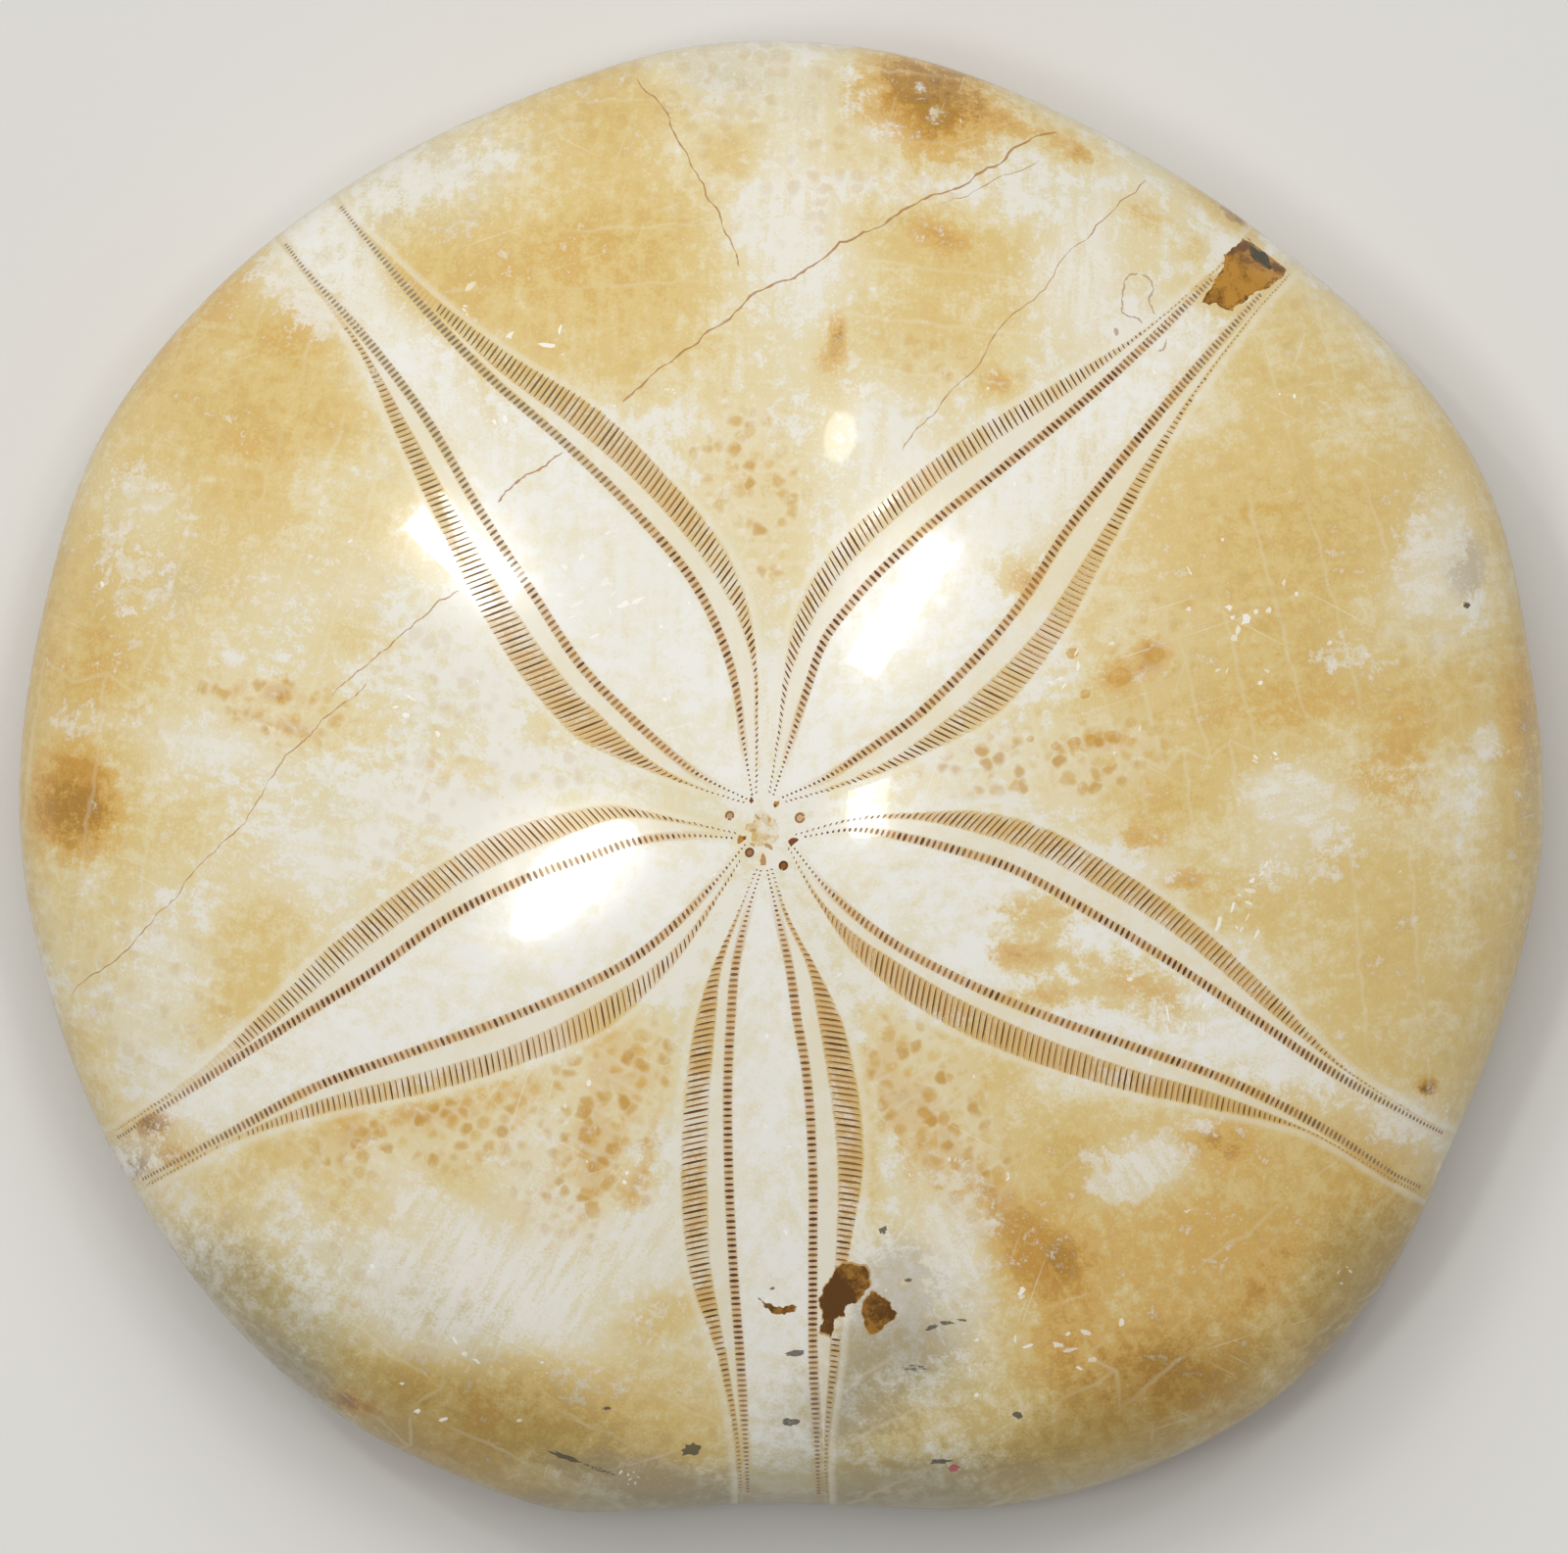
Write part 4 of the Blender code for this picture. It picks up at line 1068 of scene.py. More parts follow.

# %% [markdown]
# ## Stains, named one by one
#
# Iron in the ground coloured some fields honey and left others cream.  Pure noise would
# give a different stone each time, so the large stains are listed one by one: each is a
# soft ellipse, with a middle, two radii, a turn and a strength.  Noise in the material
# then breaks up their edges, so that no ellipse shows.

# %% Honey stains
STAINS = {}
STAINS["honey"] = (
    # The field behind the apex, left of its middle.
    (-16, 42, 9.5, 4.0, 8, 0.95), (-12, 47, 4.5, 4.0, 20, 0.8), (-13, 36, 8, 4.0, 15, 0.85),
    (-19, 39, 6, 3.0, -20, 0.7), (-9, 38, 4, 5, 0, 0.5), (-15, 53, 6, 1.6, 20, 0.7),
    (-10.5, 51.5, 2.5, 2, 0, 0.7), (-6.5, 44.5, 1.4, 1, 0, 0.5), (-2.5, 48.5, 2, 1.5, 60, 0.7),
    (-8, 52.5, 3, 1.5, -30, 0.5), (-5, 33, 4, 3, 0, 0.35), (-3, 27, 3, 4, 0, 0.45),
    # The same field, right of its middle.
    (12, 52.3, 4.2, 3.6, 0, 0.95), (18, 51.5, 4, 1.6, -25, 0.8), (22.5, 49.2, 2.5, 1.2, -25, 0.7),
    (12.5, 42.5, 5, 2.4, -15, 0.8), (13.5, 38, 5.5, 3.4, 20, 0.6), (5, 48.5, 5, 1.6, 5, 0.45),
    (17, 32.2, 1.6, 1.1, 0, 0.8), (27, 44.6, 1.8, 1.0, -20, 0.7), (31, 42, 1.1, 0.9, 0, 0.6),
    (33, 44.8, 3, 0.8, -38, 0.8), (5, 33, 1.6, 3, 0, 0.5), (12, 34, 4, 2.6, -25, 0.45),
    (24, 41, 3, 5, -40, 0.35), (1, 22, 1.8, 5, 0, 0.5), (6, 4, 3, 1.6, 0, 0.25),
    # The left field.
    (-42, 37, 9.5, 2.2, 45, 0.9), (-41, 32.5, 5, 4, 50, 0.8), (-34.5, 35.5, 3.6, 3, 0, 0.95),
    (-37, 29.5, 7.5, 3.6, 8, 0.85), (-37.5, 24, 3.4, 4.4, 0, 0.75), (-47, 28, 3, 6, -25, 0.5),
    (-32, 31, 3.5, 2.5, -40, 0.6), (-48.5, 13.5, 4.4, 5.5, 0, 0.95), (-52.3, 14, 1.6, 10, 0, 0.8),
    (-47, 19, 4, 3, 0, 0.5), (-53.4, 2, 1.0, 12, 0, 0.5), (-40, 17, 3, 3, 0, 0.4),
    (-30, 21, 4.5, 3, 10, 0.4), (-29, 14.3, 2.6, 2, 0, 0.45), (-34, 8.6, 6.5, 2.0, -14, 0.55),
    (-20, 3.6, 3.2, 1.6, 0, 0.4), (-26, -3, 3, 2, 0, 0.25), (-15, 8, 3, 1.5, -40, 0.3),
    (-49, 2.3, 4.0, 3.8, 0, 0.8), (-36, -7.5, 3.4, 2.6, 35, 0.8), (-37.5, -12, 3.4, 1.8, 40, 0.65),
    (-48, -5, 3.5, 6, 20, 0.3), (-40, 0, 4, 3, 0, 0.3), (-48.5, -17, 1.6, 5, 25, 0.7),
    (-24, 25, 3, 3, 0, 0.25), (-6, 11, 2, 2, 0, 0.25), (-33, -14.5, 3, 1.4, 25, 0.5),
    # The field between the left and the front petals.
    (-9.8, -16.5, 2.6, 2.8, 0, 0.8), (-12.3, -23, 1.6, 5.0, -8, 0.75), (-9.5, -25, 1.4, 1.6, 0, 0.6),
    (-18, -18.6, 3.8, 1.6, 14, 0.75), (-24.5, -20.3, 4, 1.4, 8, 0.8), (-29.5, -21.8, 2.0, 1.6, 0, 0.8),
    (-33.5, -22.6, 4.2, 1.4, 20, 0.6), (-16, -27.5, 2.2, 1.4, 0, 0.55), (-19, -23, 3, 3, 0, 0.45),
    (-26, -27.5, 5, 1.6, -42, 0.5), (-31, -26, 4, 1.6, -50, 0.45), (-24, -24, 3, 2, -40, 0.5),
    (-19, -39.6, 6.2, 2.6, -4, 0.9), (-15, -42.5, 9, 3.0, -8, 0.8), (-21.5, -42.5, 4.5, 2.6, 0, 0.9),
    (-25, -39.2, 2, 1.3, 0, 0.8), (-7, -41.5, 5, 4.4, 0, 0.6), (-6.5, -33.5, 2.4, 1.2, 0, 0.6),
    (-8.5, -35.4, 2, 1, 0, 0.6), (-29, -38, 1.4, 0.8, -20, 0.5), (-29.5, -41, 3, 1.2, -28, 0.7),
    (-21, -46, 6, 1.4, -22, 0.7), (-39, -29, 3, 7, 40, 0.35), (-38, -25.5, 3, 2, 0, 0.35),
    # The field between the front and the right petals.
    (9.3, -15.8, 1.3, 3.2, 15, 0.75), (11.2, -19.5, 2.2, 2.2, 0, 0.75), (16, -17, 3.6, 2.4, -15, 0.7),
    (13, -24, 1.8, 3.6, 35, 0.65), (16, -21.3, 3, 2.4, 0, 0.55), (7.4, -23, 0.7, 5.5, 4, 0.6),
    (18, -29.5, 2.6, 4.6, 30, 0.9), (22, -22.5, 3.4, 2.4, 20, 0.85), (30, -31, 13, 8.0, 0, 1.0),
    (27, -38.5, 8, 4.6, 8, 0.95), (38, -26, 8.5, 5.5, 0, 0.95), (21.5, -35.5, 3.4, 5.5, 0, 0.9),
    (43, -24.5, 4.5, 4, 0, 0.8), (24, -44, 8, 2.2, 16, 0.7), (12, -43, 6, 2.2, 0, 0.4),
    (20, -26.5, 4, 3, 0, 0.9), (31, -21.8, 5, 2, -12, 0.9), (38, -38, 6, 4, 40, 0.6),
    # The right field.
    (36, 32.5, 7.0, 6.0, 0, 0.5), (36, 23.5, 9.5, 4.6, -8, 0.9), (46, 28, 5.5, 6.5, 0, 0.55),
    (51.5, 26.5, 2.2, 7.5, 20, 0.8), (33, 16.5, 9, 4.5, -20, 0.75), (36, 8.5, 12, 3.6, 6, 0.8),
    (27, 12, 4, 2.6, 40, 0.7), (24.5, 4.6, 4.5, 1.4, 8, 0.6), (28.5, 1.8, 4.5, 2.4, 0, 0.8),
    (46, 8.5, 2.4, 4.2, 0, 0.75), (50, 9.5, 2.2, 3, 0, 0.6), (54.3, 9, 1.8, 6, 0, 0.95),
    (54.6, 0, 1.5, 8, 0, 0.85), (30, -3.2, 2.2, 1.6, 0, 0.7), (34.5, -5.2, 3.4, 2.2, 0, 0.7),
    (45, -9, 7, 8, 0, 0.6), (52.5, -9, 2.2, 9, -8, 0.7), (44.5, -16.5, 2.6, 1.2, -25, 0.6),
    (22.5, 16, 1.5, 3, 20, 0.5), (40, -2, 4, 3, 0, 0.4), (43, 17, 4, 3, 0, 0.5),
    (38, 12, 14, 16, 0, 0.25), (43, -8, 9, 12, 0, 0.25), (-42, 12, 9, 20, 0, 0.2),
    (2, 46, 12, 7, 0, 0.12), (10, 28, 8, 9, -30, 0.15),
    # Inside the petals.
    (20, -5.6, 3.2, 1.3, 0, 0.7), (18.5, -8.6, 2.6, 1.0, 0, 0.9), (20.5, -11.6, 2.4, 0.8, 0, 0.9),
    (26, -11, 4, 2, -25, 0.8), (-20, 30, 3, 3, 0, 0.3), (18, 18, 1.8, 1.6, 0, 0.55),
    (32, 38.6, 2, 1.4, 0, 0.6), (-43.5, -22, 2.6, 2.2, 0, 0.7), (12, -4, 4, 1.5, 0, 0.25),
)
print(len(STAINS["honey"]), "honey stains")

# %% [markdown]
# Ochre is the same iron in a thicker layer.  It sits in the hearts of the honey stains
# and runs in streaks away from the apex.  Where it is thickest the stone turns brown.

# %% Ochre and brown stains
STAINS["ochre"] = (
    (-33.6, 36, 2.6, 2.4, 0, 0.5), (-37, 27.5, 4, 1.4, 0, 0.4), (-34.7, 10.0, 1.3, 0.7, -4, 1.1),
    (-36.8, 8.3, 1.1, 0.5, -16, 1.0), (-34.0, 7.6, 1.4, 0.5, -14, 1.1), (-32.6, 9.2, 0.5, 0.4, -20, 1.0),
    (-37.6, 10.3, 0.9, 0.5, 50, 0.7), (-31.8, 6.9, 0.6, 0.3, -20, 0.6), (-49.6, 2.2, 2.8, 3.3, 0, 1.3),
    (-48.5, 12, 3, 4, 0, 0.4), (11.6, 52.6, 4.4, 3.4, -10, 1.1), (17, 51.6, 3, 1.0, -25, 0.6),
    (12.7, 42.7, 2.6, 1.0, -20, 0.7), (16.8, 32.2, 1.1, 0.7, 0, 0.7), (27, 44.7, 1.2, 0.5, -20, 0.6),
    (5.2, 35.6, 0.6, 1.5, 0, 0.9), (4.7, 33.7, 1.0, 0.8, 0, 0.7), (22.4, 49, 1.6, 0.6, -30, 0.8),
    (-14, 41, 6, 3, 10, 0.35), (-12.5, 35.5, 4, 2, 10, 0.3), (25.3, 11.2, 1.3, 1.0, 0, 0.8),
    (27.6, 12.6, 1.4, 1.2, 0, 0.9), (24, 6.4, 3.0, 0.7, 10, 0.8), (28, 2, 3.6, 1.8, 0, 0.3),
    (27, -0.6, 1.4, 1.0, 0, 0.6), (36, 22.5, 4, 2, 0, 0.35), (54.6, 9, 1.6, 4, 0, 0.7),
    (46, 8, 1.2, 3, 0, 0.4), (30.2, -3.4, 1.4, 1.0, 0, 0.8), (34, -4.8, 1.6, 1.0, 0, 0.5),
    (37.5, 9, 5, 1.6, 8, 0.5), (-10, -16.2, 2, 2, 0, 0.7), (-12.2, -22, 0.9, 3.4, -6, 0.8),
    (-29.4, -21.6, 1.5, 1.1, 0, 0.8), (-24, -20.2, 3, 0.8, 5, 0.8), (-18, -18.6, 2.6, 1.0, 10, 0.6),
    (-9.6, -25, 1, 1.2, 0, 0.5), (-20, -41, 5, 2.2, -5, 0.45), (-29.7, -41, 1.6, 0.7, -24, 1.1),
    (-43.6, -21.0, 1.3, 0.8, 20, 1.1), (-42.7, -23.2, 1.0, 0.7, 0, 0.9), (9.2, -15.8, 0.7, 2.4, 14, 0.7),
    (11.3, -19.2, 1.5, 1.5, 0, 0.7), (18.4, -29.5, 1.8, 3.8, 30, 0.9), (21, -31, 2.2, 2.0, 0, 0.9),
    (32.2, -22.3, 2.6, 1.4, -10, 0.8), (36, -32, 0.9, 2.8, -38, 0.7), (30, -30, 11, 6, 0, 0.5),
    (44, -26, 2, 2, 0, 0.4), (28, -39, 6, 3, 0, 0.4), (18.3, 18.2, 0.9, 0.9, 0, 0.7),
    (19.4, 18.0, 0.5, 1.4, -30, 0.7), (47.6, -18.2, 0.7, 0.6, 0, 1.1), (13.4, -24.5, 1, 2.4, 30, 0.5),
    (21.5, -36, 2, 3, 0, 0.5), (-2.5, 26, 1.6, 2.4, 0, 0.4), (-11.5, -24, 6, 0.6, 66, 0.7),
    (-15.5, -25, 5, 0.6, 58, 0.6), (-8.7, -24, 6, 0.5, 74, 0.6), (-19, -22.5, 4, 0.5, 48, 0.5),
    (11, -22, 6, 0.6, -62, 0.7), (14.5, -24, 5, 0.6, -56, 0.7), (9, -20, 5, 0.5, -72, 0.6),
    (17.5, -27, 5, 0.8, -52, 0.7), (-40, 38, 5, 1.6, 45, 0.5), (18, -8.6, 2.4, 0.8, 0, 0.8),
    (20.3, -11.6, 2.0, 0.6, -10, 0.7), (27, -11, 3, 0.9, -25, 0.6), (19, -5.6, 2.6, 0.9, 0, 0.5),
    (45, 4, 3, 3, 0, 0.5), (27, -39, 6, 3.5, 10, 0.5),
)
STAINS["brown"] = (
    (-49.6, 1.8, 2.2, 2.2, 0, 0.6), (12.2, 53.4, 3.4, 2.0, -20, 0.7), (11.6, 50.4, 1.4, 1.2, 0, 0.25),
    (32.4, -22.2, 2.0, 1.0, -10, 0.35), (21.2, -30.8, 1.4, 1.6, 0, 0.45),
    (-44.0, -21.0, 1.0, 0.6, 20, 1.0), (-45.4, -24.3, 1.0, 0.6, 35, 1.0),
    (-29.9, -41.0, 1.0, 0.5, -24, 0.6), (47.6, -18.4, 0.5, 0.35, 0, 1.1), (5.2, 35.8, 0.35, 0.9, 0, 0.6),
    (27.8, 12.6, 0.8, 0.8, 0, 0.4), (33.8, 44.5, 1.2, 0.4, -38, 0.8), (-10.2, -16.0, 0.9, 1.0, 0, 0.3),
    (50.5, 16.3, 0.3, 0.25, 0, 0.8), (36.4, -31.6, 0.5, 2.0, -38, 0.4),
)
print(len(STAINS["ochre"]), "ochre stains and", len(STAINS["brown"]), "brown ones")

# %% [markdown]
# Other places lost their iron or took up clay.  "Pale" and "grey" are such places, but one
# pale ellipse is partly a painted reflection.  Two lists are painted shade: one darkens the
# side that falls away to the front, the other the edge of the notch.  "Cobbles" says where
# the tubercles of the living shell still show.

# %% Pale, grey and cobbled places, and painted shade
STAINS["pale"] = (
    (27.4, -23.6, 2.8, 1.8, 5, 1.2), (25.4, -25.2, 1.6, 1.0, 0, 1.1), (30.6, -20.8, 1.5, 0.5, 0, 0.8),
    (11.4, 53.5, 0.35, 0.3, 0, 1.0), (12.5, 51.9, 0.4, 0.28, -20, 1.0), (52, 6.6, 0.9, 1.0, 0, 0.9),
    (-49, 8.0, 3.5, 1.0, 0, 0.5), (-32, 40.5, 3.5, 4, 50, 0.9), (-24, 32, 6, 2.4, -48, 0.6),
    (-12, 17, 8, 5, -45, 0.6), (-20, -33, 8, 3.6, -20, 0.8), (-9, -30, 5, 3, 0, 0.7),
    (-38, -17, 5, 2, 28, 0.9), (-26, -11, 7, 2.4, 27, 0.8), (-14, -9, 7, 2.5, 27, 0.4),
    (2, 45, 3.0, 8, 0, 0.6), (-4, 54, 6, 3, 0, 0.5), (0, 8, 3, 4, 0, 0.7), (20, 26, 7, 3.6, 47, 0.7),
    (0.5, -24, 2.2, 14, 0, 0.8), (8, 28, 3, 6, 0, 0.5), (30, 36.5, 2, 2, 0, 0.8),
    (46, -20.5, 4.5, 1.6, -27, 0.8), (36, -15.5, 3.6, 1.2, -25, 0.7), (14, -30, 2.4, 5, 0, 0.9),
    (48, 20.3, 2.4, 4.2, -12, 0.8), (46, 17, 2.0, 1.4, 20, 0.5), (42.6, 13.0, 2.0, 1.6, 0, 0.4),
    # The first ellipse on the next line is partly a painted reflection of a warm lamp on the polish,
    # partly a pale worn patch.
    (39.5, 1.2, 5, 1.8, -12, 0.6), (36.8, 3.8, 2.6, 1.3, 20, 0.5), (29, -2.6, 2, 1, 0, 0.5),
    (-33, 18, 5, 3, 0, 0.4), (-39, 6, 5, 1.4, -10, 0.5), (-44.5, 21, 3.6, 6, 10, 0.45),
    (8.6, 50, 1.8, 1.5, 0, 0.7), (22, 39.5, 3, 3, 0, 0.7), (-22.5, 45.5, 2.6, 2.8, 0, 0.3),
    (-44, -12, 3, 5, 0, 0.5), (-23.5, -37, 3, 1.5, -20, 0.6), (-33, -2, 4, 3, 0, 0.5),
    (13, -2.6, 6, 1.2, -12, 0.5), (2, -35, 1.8, 6, 0, 0.8), (-17, -25.5, 3, 1.6, -40, 0.6),
    (-24, -27, 5, 1.6, -40, 0.7), (-14.5, -30, 3, 3, 0, 0.6), (-5, 20, 5, 5, 0, 0.3),
    (24, 44, 4, 2.0, 45, 0.5), (37, -2, 3, 2, 0, 0.5),
)
STAINS["grey"] = (
    (11, -32.6, 4.0, 3.0, -20, 1.0), (8.5, -36.5, 4.0, 2.6, 0, 0.9), (5, -41.5, 4.4, 2.4, 0, 0.8),
    (50.3, 19.2, 1.5, 2.2, 0, 1.0), (-3, 54.5, 4.0, 1.6, -5, 0.6), (-34, -38.6, 4, 1.6, -40, 0.9),
    (-9, -46.4, 7, 1.6, -10, 0.9), (-42, 18, 2.4, 2.6, 0, 0.5), (-44.8, -23, 2.0, 2.0, 0, 0.6),
    (12, -46.5, 9, 1.6, 8, 0.7), (-24, -2.8, 1.6, 0.9, 20, 0.4), (42, -37, 5, 2.4, 45, 0.6),
    (-26, 45, 6, 2, 30, 0.3), (55.0, 6, 0.8, 6, 0, 0.5), (1.2, -31, 1.2, 4, 0, 0.3),
    (-39, -31.5, 4, 3, -40, 0.5),
)
# Painted shade: each ellipse darkens the colour, most of all along the front margin.
STAINS["dim"] = (
    (-20, -44, 12, 4.5, -15, 0.8), (8, -48, 12, 3, 4, 0.9), (-36, -35, 7, 3.4, -42, 0.8),
    (0, -48.4, 17, 1.6, 0, 1.0), (28, -41, 9, 4, 18, 0.7), (10, -38, 5, 4, 0, 0.6),
    (43, -31, 3.5, 5, -30, 0.6), (-24, -34, 9, 3, -35, 0.3), (-3, 54, 9, 3, 0, 0.25),
    (-24, 46, 8, 4, 30, 0.25), (24, -46, 8, 3, 20, 0.6), (44, -34, 3, 8, -42, 0.55),
    (-52, -14, 2, 9, 15, 0.3), (4, -42, 4, 3, 0, 0.4), (55, 2, 1.2, 14, 0, 0.2),
    (-55, 6, 1.2, 14, 0, 0.3),
)
# Painted shade along the edge of the notch at the front.
STAINS["grime"] = (
    (0, -49.0, 17, 1.2, 0, 1.0), (-33, -38.6, 4, 1.0, -40, 0.5), (-12, -48.6, 5, 1.0, -12, 0.6),
    (12, -48.2, 5, 1.0, 14, 0.6),
)
STAINS["cobbles"] = (
    (-10, -17, 4, 4, 0, 0.9), (-13, -24, 3.4, 5, 0, 0.7), (-24, -21.5, 9, 2.4, 12, 0.8),
    (11, -17, 3.6, 4, 20, 1.0), (14, -23, 3, 5, 35, 0.8), (0, 23, 3, 6, 0, 0.7), (21, 5, 7, 2.6, 8, 1.0),
    (-35, 9, 5, 2, -14, 1.0), (12, 34, 4, 2, -30, 0.5), (15, 5, 3, 2.2, 0, 0.8), (-3, 27, 2.4, 4, 0, 0.6),
    (28, 14, 4, 4, 0, 0.5), (-15, -22, 7, 6, 0, 0.4),
)
print("stains of each kind:", {kind: len(places) for kind, places in STAINS.items()})

# %% [markdown]
# One function turns such a table into a number for each point.  The ellipses of a kind
# are joined as overlapping glazes would be: each lets through a share of what is left.

# %% Keep the numbers on the mesh


def stain(places):
    """How strongly each point is stained, from all ellipses of one kind together."""
    clear = np.ones(len(plan))
    for x, y, long_radius, short_radius, turn, strength in places:
        offset = plan - (x, y)
        lengthwise = offset @ direction(turn) / long_radius
        crosswise = offset @ direction(turn + 90) / short_radius
        soft = np.exp(-0.5 * (lengthwise**2 + crosswise**2) ** 1.3)
        clear *= 1 - np.minimum(strength * soft, 0.98)
    return 1 - clear


def keep_number(name, values, domain="POINT"):
    attribute = mesh.attributes.new(name, "FLOAT", domain)
    attribute.data.foreach_set("value", np.asarray(values, np.float32).ravel())


def keep_vector(name, values):
    attribute = mesh.attributes.new(name, "FLOAT_VECTOR", "POINT")
    attribute.data.foreach_set("vector", np.asarray(values, np.float32).ravel())


for name, places in STAINS.items():
    keep_number(name, stain(places))
keep_vector("row_mm", row_mm)
keep_number("into_petal", row_mm[:, 0])
keep_vector("row_place", row_place)
keep_number("green_petal", in_green_petal)
keep_vector("plates", plates)
keep_number("on_top", on_top)
keep_number("outward", reach_of(plan))
for kind in sorted(set(kinds) - {"field"}):
    keep_number(kind, np.repeat(kinds[face_note] == kind, 3), "CORNER")
keep_number("tone", np.repeat(tones[face_note], 3), "CORNER")
print("attributes:", ", ".join(STAINS))


# %% [markdown]
# Some changes are too slow to belong to any stain: a drift from warm to cool, patches of
# a few millimetres, and bands that gild more in one place than in another.

# %% Slow changes over the surface
NOISE_LAYERS = 3


def slow_noise(size_mm, shift):
    """Cloudy numbers from 0 to 1, worked out once for each point and not for each ray."""
    total, weight = np.zeros(len(points)), 0.0
    for layer in range(NOISE_LAYERS):
        scale = 2.0**layer / size_mm
        share = 0.5**layer
        spots = points * scale + shift
        total += share * np.array([value_noise(Vector(spot)) for spot in spots])
        weight += share
    return 0.5 + 0.75 * total / weight


for name, size_mm, shift in (("drift", 22, 3.1), ("patchy", 9, 11.7), ("row_tone", 12, 27.3)):
    keep_number(name, slow_noise(size_mm, shift))
print("slow changes kept")

# %% [markdown]
# ## A flat map for the surface
#
# A game or a web page needs the colours as one square picture, so the surface has to lie
# flat in it.  The dome is unrolled to a disc that fills the square, since it is what one
# looks at.  The four corners that stay free each take a quarter of the underside.

# %% Flat map
DISC_RADIUS = 0.478
QUARTER_RADIUS = 0.215
EDGE_SPACE = 0.006


def unrolled(points, height_at):
    """Share of the way out, measured along the slope and not in plan."""
    fine = np.linspace(0, 1, 3000)
    length = slope_length(fine, height_at, PROFILE_HEADING)
    return np.interp(np.clip(reach_of(points), 0, 1), fine, length / length[-1])


way_out = plan / np.maximum(distance, 1e-9)[:, None]
dome_map = 0.5 + DISC_RADIUS * way_out * unrolled(plan, upper_height)[:, None]
under_map = QUARTER_RADIUS * way_out * unrolled(plan, lower_height)[:, None]
rim_face_count = RIM_RINGS * COLUMNS
is_dome = np.zeros(len(faces), bool)
is_dome[: len(top_faces)] = True
for half in (0, 1):
    is_dome[len(top_faces) + half * len(quads) :][:rim_face_count] = True
face_middle = plan[faces].mean(axis=1)
side = np.sign(face_middle)
corner = np.where(side > 0, EDGE_SPACE, 1 - EDGE_SPACE)
map_places = np.where(is_dome[:, None, None], dome_map[faces], corner[:, None, :] + under_map[faces])
layer = mesh.uv_layers.new(name="OFBake")
layer.data.foreach_set("uv", map_places.astype(np.float32).ravel())
print("map runs from", map_places.min().round(3), "to", map_places.max().round(3))

# %% [markdown]
# ## Small helpers for nodes
#
# The stone's material has many layers.  Each helper here adds one node and gives back
# its output, so that a layer reads like a line of arithmetic.  The same graph could be
# wired by hand in the shader editor; written out, it can be read from top to bottom.

# %% Node helpers
material = bpy.data.materials.new("polished_calcite")
material.use_nodes = True
nodes, links = material.node_tree.nodes, material.node_tree.links
nodes.clear()


def feed(socket, value):
    if isinstance(value, bpy.types.NodeSocket):
        links.new(value, socket)
    elif isinstance(value, str):
        socket.default_value = colour(value)
    else:
        socket.default_value = value


def colour(code):
    """A colour written as six hex digits, in the linear numbers that nodes want."""
    shares = [int(code[i : i + 2], 16) / 255 for i in (0, 2, 4)]
    linear = [s / 12.92 if s < 0.04045 else ((s + 0.055) / 1.055) ** 2.4 for s in shares]
    return (*linear, 1.0)


def calc(operation, a, b=0.0):
    node = nodes.new("ShaderNodeMath")
    node.operation = operation
    feed(node.inputs[0], a)
    feed(node.inputs[1], b)
    return node.outputs[0]


def times(*values):
    product = values[0]
    for value in values[1:]:
        product = calc("MULTIPLY", product, value)
    return product


def plus(*values):
    total = values[0]
    for value in values[1:]:
        total = calc("ADD", total, value)
    return total


def less(a, b):
    return calc("SUBTRACT", a, b)


def step_up(value, low, high):
    """Rises softly from 0 to 1 as the value goes from low to high."""
    node = nodes.new("ShaderNodeMapRange")
    node.interpolation_type = "SMOOTHSTEP"
    feed(node.inputs["Value"], value)
    feed(node.inputs["From Min"], low)
    feed(node.inputs["From Max"], high)
    return node.outputs["Result"]


def attribute(name):
    node = nodes.new("ShaderNodeAttribute")
    node.attribute_name = name
    return node.outputs


def step_down(value, low, high):
    """Falls softly from 1 to 0 as the value goes from low to high."""
    return less(1.0, step_up(value, low, high))


def swing(cloudy, most):
    """Turns noise round 0.5 into noise round 0, and makes it stronger or weaker."""
    return times(less(cloudy, 0.5), most)


def number(name):
    return attribute(name)["Fac"]


def vector_parts(name):
    vector = attribute(name)["Vector"]
    apart = nodes.new("ShaderNodeSeparateXYZ")
    links.new(vector, apart.inputs[0])
    return list(apart.outputs)


def stretched(where, lengths, turn=0.0, shift=(0, 0, 0)):
    """Space stretched so that noise of size 1 grows to these lengths, the first along the turn."""
    node = nodes.new("ShaderNodeMapping")
    node.vector_type = "TEXTURE"
    feed(node.inputs["Vector"], where)
    node.inputs["Scale"].default_value = lengths
    node.inputs["Rotation"].default_value = (0, 0, np.radians(turn))
    node.inputs["Location"].default_value = shift
    return node.outputs[0]


def noise(per_mm, detail, roughness=0.5, where=None):
    node = nodes.new("ShaderNodeTexNoise")
    feed(node.inputs["Vector"], where or place_mm)
    node.inputs["Scale"].default_value = per_mm
    node.inputs["Detail"].default_value = detail
    node.inputs["Roughness"].default_value = roughness
    return node.outputs["Fac"]


def cells(where, looseness):
    """Round cells one unit apart, in rows at looseness 0 and anyhow at 1."""
    node = nodes.new("ShaderNodeTexVoronoi")
    feed(node.inputs["Vector"], where)
    node.inputs["Scale"].default_value = 1.0
    node.inputs["Randomness"].default_value = looseness
    return node.outputs


